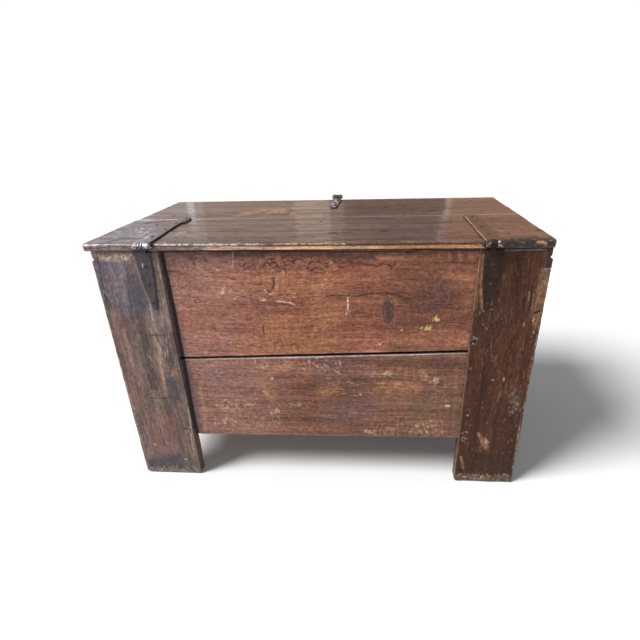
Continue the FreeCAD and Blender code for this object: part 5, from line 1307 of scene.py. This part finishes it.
        "painted highlight near the strap end": drawn("silver", 0.5, 5, 4, "136,243 150,234", broken=0.6)
        + strewn("frost", 0.8, 16, "134 230 156 243", 2.4, -35),
        # painted highlights: bluish white specks on the lit knuckle; painted shadow: the black line under
        # it
        "painted highlights on the knuckle, shade below": strewn("frost", 0.95, 40, "128 242.6 153 249", 2.2, -10, 1.1, 40)
        + drawn("coal", 0.9, 2.4, 1.2, "128,250.4 153,250.2", broken=0.2),
    },
    "upper_strap_right": {
        # painted highlight: a pale line on the strap's left side, lit from the left
        "painted highlight on the left edge": drawn("bone", 0.6, 0.9, 0.8, "465.2,216 476,228.6 486.8,240.6", broken=0.7),
        "brown bloom": drawn("brown", 0.35, 12, 8, "474,220 492,236", broken=0.5),
        "black knuckle": drawn("coal", 0.8, 8, 3, "485,244 505,243", broken=0.2)
        + strewn("bone", 0.8, 16, "484 239 506 248", 1.6, 0, 0.9, 60),
    },
    "hinge_pin_left": {
        # painted highlights: bluish white specks on the lit knuckle; painted shadow: the black specks
        # under it
        "bright specks and dark band": strewn("frost", 0.95, 30, "127 243 153 249", 2.2, 0, 1.1, 40)
        + strewn("coal", 0.8, 12, "127 248 152 252", 3.0, 0, 1.2, 40),
    },
    "hinge_pin_right": {
        "bright specks and dark band": strewn("bone", 0.9, 16, "484 238 506 248", 2.2, 0, 1.0, 60)
        + drawn("coal", 0.5, 12, 6, "486,244 504,243"),
    },
    "lower_strap_left": {
        # painted highlights on the lit knuckle; the black line is painted shadow the knuckle casts on the
        # strap
        "painted highlights on the knuckle, shade below": strewn("frost", 0.95, 24, "128 243 153 249", 2.2, -10, 1.1, 40)
        + drawn("coal", 0.8, 3, 2, "134,252 150,252", broken=0.2),
        "brown bloom": drawn("umber", 0.4, 12, 8, "140,262 150,296", broken=0.4),
        "pale scratch": drawn("bone", 0.8, 1.2, 0.9, "142.4,264 143,267", broken=0.1),
        # painted shade: a black line along the strap's shaded right side
        "painted shade on the right edge": drawn("coal", 0.6, 2, 1.4, "150,256 156.4,292 156.6,306", broken=0.2),
    },
    "lower_strap_right": {
        "rust": drawn("umber", 0.5, 8, 6, "494,262 490,300", broken=0.6),
        "dark spots": strewn("coal", 0.8, 16, "484 254 502 308", 2.4, 90, 1.2, 40),
    },
    "hasp_strap": {
        # painted highlights: silver specks where the hasp catches the light
        "painted highlights and specks": strewn("silver", 0.9, 20, "331 196 344 210", 3.0, 60, 1.2, 60)
        + strewn("tan", 0.8, 10, "331 196 344 210", 3.0, 60, 1.0, 60),
    },
    "hasp_pin": {
        # painted highlights: silver specks where the pin catches the light
        "painted highlights and specks": strewn("silver", 0.9, 14, "331 194 344 204", 2.6, 0, 1.2, 60),
    },
}


# finishes
OAK_CASE = dict(rough=0.5, coat=0.08, coat_rough=0.3)
OAK_REAR = dict(blotch=0.35, pores=0.45, grit=3.6, ticks=0.6, streak=1.0, **OAK_CASE)
OAK_INSIDE = dict(rough=0.7, blotch=0.4, flecks=0.2, scuffs=0.2)
WOOD = {
    "upper": oak("upper_board", "x", (98, 54, 42), (158, 100, 78), (200, 136, 104), 1.0,
                 scuffs=0.4, **OAK_REAR),
    "lower": oak("lower_board", "x", (82, 52, 43), (132, 88, 72), (172, 122, 98), 2.3,
                 scuffs=0.8, **OAK_REAR),
    # the left stile's oak is lighter and bluer than the right's: painted cool light; the right stile's
    # darker colour is painted shade
    "left": oak("left_stile", "z", (64, 52, 52), (112, 90, 86), (158, 132, 118), 3.7, blotch=0.45,
                pores=0.55, flecks=0.1, scuffs=0.55, specular=0.5, streak=1.3, **OAK_CASE),
    "right": oak("right_stile", "z", (54, 31, 22), (80, 48, 34), (102, 65, 46), 4.1, blotch=0.4,
                 pores=0.5, flecks=0.1, scuffs=0.35, specular=0.12, streak=0.4, **OAK_CASE),
    "front": oak("front_boards", "x", (80, 48, 37), (130, 82, 62), (172, 116, 88), 5.9,
                 blotch=0.45, pores=0.5, flecks=0.35, scuffs=0.35, **OAK_CASE),
    "front_stile": oak("front_stiles", "z", (60, 38, 30), (106, 70, 54), (150, 106, 82), 6.3,
                       blotch=0.45, pores=0.5, flecks=0.1, scuffs=0.4, streak=1.9, **OAK_CASE),
    "end": oak("end_boards", "y", (68, 44, 35), (116, 76, 58), (156, 110, 83), 7.7, blotch=0.45,
               pores=0.5, flecks=0.3, scuffs=0.4, **OAK_CASE),
    "lid": oak("lid", "x", (62, 38, 29), (103, 67, 49), (142, 96, 69), 8.2, rough=0.42, coat=0.7,
               coat_rough=0.1, blotch=0.3, pores=0.4, flecks=0.1, scuffs=0.2, bump=0.35,
               worn=(206, 166, 130), streak=2.2, grit=1.6, ticks=0.5),
    "floor": oak("floor_boards", "x", (82, 60, 42), (128, 98, 70), (170, 136, 102), 9.4,
                 **OAK_INSIDE),
    "batten": oak("battens", "y", (76, 54, 38), (118, 88, 62), (158, 124, 92), 10.6,
                  **OAK_INSIDE),
    "peg": oak("pegs", "y", (48, 32, 26), (86, 60, 46), (130, 96, 72), 11.5, rough=0.5,
               blotch=0.3, flecks=0.1, scuffs=0.3),
}
IRON = {
    "left": iron("blue_black", (42, 40, 48), (84, 80, 90), (84, 64, 60), 1.0, metal=0.3,
                 rust_amount=0.3),
    "right": iron("brown_black", (26, 18, 15), (54, 38, 31), (70, 42, 29), 2.0, rough=0.6,
                  specular=0.2),
    "waxed": iron("waxed", (70, 49, 39), (122, 88, 69), (118, 76, 54), 3.0, rough=0.4,
                  rust_amount=0.5),
    # a lighter, greyer copy of the waxed iron for the left strap: painted bluish reflection, as on the
    # lid's left part
    "waxed_left": iron("waxed_left", (84, 78, 80), (136, 126, 124), (112, 90, 80), 4.0,
                       rough=0.4, rust_amount=0.4),
    "nail": iron("nails", (34, 28, 27), (70, 58, 53), (82, 56, 44), 6.0, rough=0.6,
                 rust_amount=0.5, polish=0.12, specular=0.25),
    "plain": iron("plain", (40, 36, 36), (82, 76, 74), (90, 60, 46), 5.0, metal=0.4),
}


# the case
def long_board(name, finish, plane, edges_of_stiles, foot, head, seed, **shape):
    """A board let into the stiles. foot and head are its heights at the left and the right."""
    left, right = edges_of_stiles[0] - TONGUE, edges_of_stiles[1] + TONGUE
    plank(name, "case", finish, "oak_case", plane,
          [(left, foot[0]), (right, foot[1]), (right, head[1]), (left, head[0])], BOARD_THICK,
          seed, dirt_edges=(1, 3), **shape)


def stile(name, finish, plane, left, right, seed, **shape):
    """A stile that is also a foot, with a notch for the end's top rail at its outer corner."""
    outer = "low" if left == CASE_LEFT else "high"
    plank(name, "case", finish, "oak_case", plane, box_corners(left, right, 0, STILE_TOP),
          STILE_THICK, seed, wave=0.8, notch=(outer, RAIL_DEEP, STILE_TOP - TOP_RAIL_LOW), **shape)


def make_rear():
    face, recessed = Plane("xzy", REAR, 1), Plane("xzy", REAR + RECESS, 1)
    long_board("rear_upper_board", "upper", recessed, REAR_EDGES, REAR_UPPER_FOOT,
               (BOARD_TOP,) * 2, 11, step=2.2, edges=(1.6, 0, 1.2, 0), nibble=0.7,
               wave=0.55, wear=0.5)
    long_board("rear_lower_board", "lower", recessed, REAR_EDGES, REAR_LOWER_FOOT,
               REAR_LOWER_HEAD, 23, step=2.3, edges=(1.6, 0, 1.5, 0), nibble=0.8, wave=0.6,
               wear=0.8)
    stile("rear_left_stile", "left", face, CASE_LEFT, REAR_EDGES[0], 31, step=2.3,
          edges=(3.2, 1.3, 1.2, 2.6), nibble=1.1, wear=0.6, rounds={0: 16.0, 1: 7.0})
    stile("rear_right_stile", "right", face, REAR_EDGES[1], CASE_RIGHT, 47, step=2.3,
          edges=(5.0, 2.8, 1.2, 1.6), nibble=1.2, wear=0.55, rounds={0: 10.0, 1: 4.0})


def make_front():
    face, recessed = Plane("xzy", FRONT, -1), Plane("xzy", FRONT - RECESS, -1)
    long_board("front_upper_board", "front", recessed, FRONT_EDGES, (FRONT_UPPER_FOOT,) * 2,
               (BOARD_TOP,) * 2, 83, step=3.4, edges=(1.5, 0, 1.2, 0), nibble=0.8,
               wave=0.6, age="along")
    long_board("front_lower_board", "front", recessed, FRONT_EDGES, (FRONT_LOWER_FOOT,) * 2,
               (FRONT_LOWER_HEAD,) * 2, 89, step=3.4, edges=(1.8, 0, 1.5, 0), nibble=0.9, wave=0.7,
               age="along")
    stile("front_left_stile", "front_stile", face, CASE_LEFT, FRONT_EDGES[0], 97, step=3.2,
          edges=(2.8, 1.5, 1.2, 2.6), nibble=1.2, age="upright", rounds={0: 11.0, 1: 5.0})
    stile("front_right_stile", "front_stile", face, FRONT_EDGES[1], CASE_RIGHT, 101, step=3.2,
          edges=(2.8, 2.6, 1.2, 1.5), nibble=1.2, age="upright", rounds={0: 6.0, 1: 13.0})


def make_ends():
    low_y, high_y = REAR + STILE_THICK, FRONT - STILE_THICK
    for end, outer, inward, seed in (("left", CASE_LEFT, 1, 103), ("right", CASE_RIGHT, -1, 131)):
        recessed = Plane("yzx", outer + inward * RAIL_DEEP, inward)
        for name, (low, high) in END_BOARDS.items():
            plank(f"{end}_end_{name}_board", "case", "end", "oak_case", recessed,
                  box_corners(low_y - 2, high_y + 2, low, high), END_THICK,
                  seed + 5 + int(low), step=3.6, edges=(1.6, 0, 1.4, 0), nibble=0.8, wave=0.7,
                  dirt_edges=(1, 3), age="along")
        plank(f"{end}_end_bottom_rail", "case", "end", "oak_case", Plane("yzx", outer, inward),
              box_corners(low_y, high_y, *BOTTOM_RAIL), RAIL_DEEP, seed + 5, step=3.6,
              edges=(2.4, 0, 2.0, 0), age="along")
        make_top_rail(end, outer, inward, seed + 9)


def make_top_rail(end, outer, inward, seed):
    """The rail through the stiles' corners, its upper half set back behind a small groove."""
    rail = plank(f"{end}_end_top_rail", "case", "end", "oak_case", Plane("yzx", outer, inward),
                 box_corners(REAR, FRONT, TOP_RAIL_LOW, STILE_TOP), RAIL_DEEP, seed, step=5.0,
                 radius=1.8, nibble=0.8, wave=0.4, wear=0.8)
    places = places_of(rail.data)
    z = places[:, 2] / MM
    back = inward * (places[:, 0] / MM - outer)
    setback, setback_low, setback_high = 3.5, 733.2, 736.2
    groove, groove_height, groove_wide = 4.0, 735.6, 1.3
    carved = setback * smooth(setback_low, setback_high, z)
    carved += groove * np.exp(-((z - groove_height) / groove_wide) ** 2)
    places[:, 0] += inward * MM * carved * np.clip(1 - back / RAIL_DEEP, 0, 1)
    move_to(rail.data, places)


def batten(name, body, boards_low, ends, across, half, thick, seed, **shape):
    """A batten under boards, seen from below."""
    plank(name, body, "batten", "oak_inside", Plane("yxz", boards_low - thick, 1),
          box_corners(*ends, across - half, across + half), thick, seed, wave=0.4,
          back_radius=0.4, **shape)


def make_floor_boards():
    wide = (FRONT - REAR - 2 * STILE_THICK - 4 * FLOOR_GAP) / 3
    left, right = CASE_LEFT + FLOOR_MARGIN, CASE_RIGHT - FLOOR_MARGIN
    for index, name in enumerate(("rear", "middle", "front")):
        low = REAR + STILE_THICK + FLOOR_GAP + index * (wide + FLOOR_GAP)
        plank(f"floor_board_{name}", "case", "floor", "oak_inside", Plane("xyz", FLOOR_TOP, -1),
              box_corners(left, right, low, low + wide), FLOOR_THICK, 151 + index, step=10.0,
              radius=1.2, nibble=0.6, dirt_edges=(0, 2))
    for name, across in FLOOR_BATTENS.items():
        batten(f"floor_batten_{name}", "case", FLOOR_TOP - FLOOR_THICK, (-312.0, 309.6), across,
               25.0, FLOOR_BATTEN_THICK, 161, step=10.0, radius=1.6, nibble=0.6)


# the lid
def joint_at(across):
    """How far back the joint of the lid's planks lies."""
    return LID_REAR + LID_JOINT + (across - LID_LEFT) * LID_JOINT_RISE / (LID_RIGHT - LID_LEFT)


def make_lid():
    top = Plane("xyz", LID_TOP, -1)
    rear = [(LID_LEFT, LID_REAR), (LID_RIGHT, LID_REAR), (LID_RIGHT, joint_at(LID_RIGHT)),
            (LID_LEFT, joint_at(LID_LEFT))]
    plank("lid_rear_plank", "lid", "lid", "oak_lid", top, rear, LID_THICK, 53, step=2.8,
          edges=(4.5, 3.0, 1.0, 3.0), nibble=1.3, wave=0.45, wear=0.8, back_radius=0.25,
          wall=(0.24, 0.32, 0.4, 0.5, 0.6, 0.7, 0.8, 0.9), rounds={0: 7.0, 1: 12.0})
    left = LID_LEFT + 4.0
    front = [(left, joint_at(left) + LID_JOINT_GAP),
             (LID_RIGHT, joint_at(LID_RIGHT) + LID_JOINT_GAP), (LID_RIGHT, LID_FRONT),
             (left, LID_FRONT)]
    plank("lid_front_plank", "lid", "lid", "oak_lid", top, front, LID_THICK, 67, step=3.6,
          edges=(1.0, 3.0, 2.2, 3.0), nibble=1.4, wave=0.45, wear=0.8, back_radius=1.6)
    for name, across in LID_BATTENS.items():
        batten(f"lid_batten_{name}", "lid", LID_TOP - LID_THICK, (-280.7, 278.3), across, 22.5,
               LID_BATTEN_THICK, 71 + int(across) % 7, step=7.0, nibble=0.8)


# pegs, ironwork and nails
def make_pegs():
    """Ends of the oak pegs, a hair proud of the stiles."""
    rng = np.random.default_rng(5)
    front_heights = (185.0, 401.0, 487.5, UPPER_PEG)
    for side, face, out, edges, heights in (
            ("rear", REAR, -1, REAR_EDGES, ((181.0, 385.0, 476.5, UPPER_PEG),
                                            (190.0, 416.0, 509.0, UPPER_PEG))),
            ("front", FRONT, 1, FRONT_EDGES, (front_heights, front_heights))):
        columns = zip((edges[0] - PEG_FROM_EDGE, edges[1] + PEG_FROM_EDGE), heights)
        spots = [((x, face, z), (0, out, 0)) for x, column in columns for z in column]
        peg_ends(f"{side}_stile_pegs", spots, 4.4, STILE_THICK, rng)
    middle = STILE_THICK / 2
    spots = [((outer, y, RAIL_PEG), (out, 0, 0))
             for outer, out in ((CASE_LEFT, -1), (CASE_RIGHT, 1))
             for y in (REAR + middle, FRONT - middle)]
    peg_ends("rail_pegs", spots, 3.9, RAIL_PEG_LONG, rng)


def make_iron():
    forged("upper_strap_left", "lid", "waxed_left", 1.7, 3)
    forged("upper_strap_right", "lid", "waxed", 1.7, 5)
    forged("lower_strap_left", "case", "left", 1.4, 7, hollow=0.5)
    forged("lower_strap_right", "case", "right", 1.4, 9, hollow=0.5)
    forged("hinge_pin_left", "case", "left", 1.0, 11, hollow=0.3, shiny=1.0)
    forged("hinge_pin_right", "case", "plain", 1.0, 13, hollow=0.3, shiny=1.0)
    forged("hasp_strap", "lid", "plain", 1.4, 15)
    forged("hasp_pin", "lid", "plain", 1.0, 17, hollow=0.25, shiny=1.0)
    forged("hasp", "hasp", "plain", 1.2, 19)
    forged("staple", "case", "plain", 0.8, 21, hollow=0.15, soften=1, shiny=1.0)
    forged("staple_plate", "case", "plain", 1.1, 23, hollow=0.25)


def make_nails():
    """Nail heads. A share says how far along its strap or plank a nail sits."""
    strap_top = LID_TOP + STRAP_PROUD
    low = [((centre + outward * (9.0 - 4.0 * share), REAR - STRAP_PROUD,
             LOWER_STRAP_TOP - LOWER_STRAP_LONG * share), (0, -1, 0))
           for centre, outward in ((STRAP_LEFT, -1), (STRAP_RIGHT, 1))
           for share in (0.24, 0.545, 0.86)]
    nail_heads("strap_nails_low", "case", "lower_strap_nails", "nail", low, 5.2, 1.9, 3)
    top = [((centre, LID_REAR + length * share, strap_top), (0, 0, 1))
           for centre, length, shares in (
               (STRAP_LEFT, UPPER_LEFT_LONG, (0.18, 0.44, 0.68, 0.95)),
               (STRAP_RIGHT, UPPER_RIGHT_LONG, (0.18, 0.45, 0.68, 0.88)))
           for share in shares]
    nail_heads("strap_nails_top", "lid", "upper_strap_nails", "nail", top, 5.0, 1.7, 4)
    hasp = [((HASP_ACROSS, LID_FRONT - HASP_STRAP_LONG * share, strap_top), (0, 0, 1))
            for share in (0.22, 0.55, 0.85)]
    nail_heads("hasp_nails", "lid", "hasp_strap_nails", "plain", hasp, 5.2, 1.9, 6)
    flush = []
    for x in LID_BATTENS.values():
        joint = joint_at(x)
        for share in (0.2, 0.8):
            for y in (LID_REAR + (joint - LID_REAR) * share, joint + (LID_FRONT - joint) * share):
                flush.append(((x, y, LID_TOP - 0.6), (0, 0, 1)))
    nail_heads("batten_nails", "lid", "lid_batten_nails", "nail", flush, 4.2, 0.9, 8, flat=True)
    plate = [((HASP_ACROSS + a * 19.0, PLATE_FACE, PLATE_MIDDLE + b * 27.0), (0, 1, 0))
             for a in (-1, 1) for b in (-1, 1)]
    nail_heads("plate_nails", "case", "staple_plate_nails", "plain", plate, 3.2, 1.3, 9)


# studio
def emission(name, colour, strength):
    recipe = Recipe(bpy.data.materials.new(name))
    return recipe.finish(recipe.put("ShaderNodeEmission",
                                    {"Color": colour, "Strength": strength}))


def seen_directly(recipe):
    """1 where the camera, a reflection or a view through glass meets the surface."""
    path = recipe.put("ShaderNodeLightPath").outputs
    seen = recipe.work("MAXIMUM", path["Is Camera Ray"], path["Is Glossy Ray"])
    return recipe.work("MAXIMUM", seen, path["Is Transmission Ray"])


def make_world():
    world = bpy.data.worlds.new("studio")
    bpy.context.scene.world = world
    recipe = Recipe(world, "ShaderNodeOutputWorld")
    soft = recipe.put("ShaderNodeBackground", {"Color": (0.97, 0.98, 1.0), "Strength": 0.26})
    white = recipe.put("ShaderNodeBackground", {"Color": (1, 1, 1), "Strength": 1.0})
    recipe.finish(recipe.put("ShaderNodeMixShader", {0: seen_directly(recipe),
                                                     1: soft.outputs[0], 2: white.outputs[0]}))


def sheet(name, corners, material, unseen=()):
    """A flat piece of the studio. unseen names the kinds of ray that pass through it."""
    mesh = bpy.data.meshes.new(name)
    mesh.from_pydata(corners, [], [(0, 1, 2, 3)])
    mesh.materials.append(material)
    item = add_object(name, mesh)
    for kind in unseen:
        setattr(item, "visible_" + kind, False)


def make_floor():
    recipe = Recipe(bpy.data.materials.new("studio_floor"))
    seen = seen_directly(recipe)
    pale = recipe.mix(seen, (0.6, 0.6, 0.6), (0.785, 0.8, 0.81))
    shade = recipe.put("ShaderNodeBsdfDiffuse", {"Color": pale})
    glow = recipe.put("ShaderNodeEmission", {"Color": (1, 1, 1),
                                             "Strength": recipe.times(seen, 0.04)})
    both = recipe.put("ShaderNodeAddShader", {0: shade.outputs[0], 1: glow.outputs[0]})
    wide = 8.0
    sheet("studio_floor", [(-wide, -wide, 0), (wide, -wide, 0), (wide, wide, 0), (-wide, wide, 0)],
          recipe.finish(both))


def make_lights():
    data = bpy.data.lights.new("key", "SUN")
    data.energy = 4.65
    data.angle = math.radians(26)
    data.color = (1.0, 0.99, 0.97)
    back = np.array([-0.75, -0.36, 0.8])
    back /= np.linalg.norm(back)
    side = np.cross((0, 0, 1.0), back)
    side /= np.linalg.norm(side)
    turn(add_object("key", data), side, np.cross(back, side), back)


def card(name, left, right, low, high, behind, colour, strength, lean=0.0):
    """An upright panel behind the chest that only its gloss shows."""
    sheet(name, [(left, behind, low), (right, behind, low), (right + lean, behind, high),
                 (left + lean, behind, high)], emission(name, colour, strength),
          unseen=("camera", "diffuse", "shadow", "transmission"))


def make_cards():
    card("wall", -9.0, 9.0, 0.0, 6.0, 2.54, (1.0, 0.9, 0.82), 0.42)
    card("near_wall", -1.75, -1.3, 0.6, 4.0, 2.53, (1.0, 0.97, 0.96), 0.56)
    card("window", -6.0, -1.75, 1.2, 4.5, 2.52, (0.93, 0.98, 1.1), 0.84)
    card("slit", -1.43, -1.37, 0.9, 1.3, 2.5, (0.97, 1.0, 1.06), 1.1)
    card("lit_wall", -0.5, -0.2, 0.6, 4.0, 2.51, (1.0, 0.87, 0.74), 0.66)
    card("dim_wall", -0.2, -0.08, 0.6, 4.0, 2.505, (1.0, 0.9, 0.78), 0.38)
    card("doorway", -0.08, 0.76, 1.24, 4.0, 2.5, (1.0, 0.96, 0.88), 0.27)
    card("doorway_low", -0.08, 0.76, 0.6, 1.24, 2.5, (1.0, 0.96, 0.88), 0.16)
    card("jamb", 0.79, 0.83, 1.0, 1.5, 2.49, (1.0, 0.9, 0.78), 0.75, lean=-0.1)
    card("right_wall", 0.8, 8.0, 0.6, 5.0, 2.5, (1.0, 0.8, 0.62), 0.36)


make_camera()
make_rear()
make_lid()
make_front()
make_ends()
make_floor_boards()
make_pegs()
make_iron()
make_nails()
make_world()
make_floor()
make_lights()
make_cards()

scene = bpy.context.scene
scene.view_settings.view_transform = "Standard"
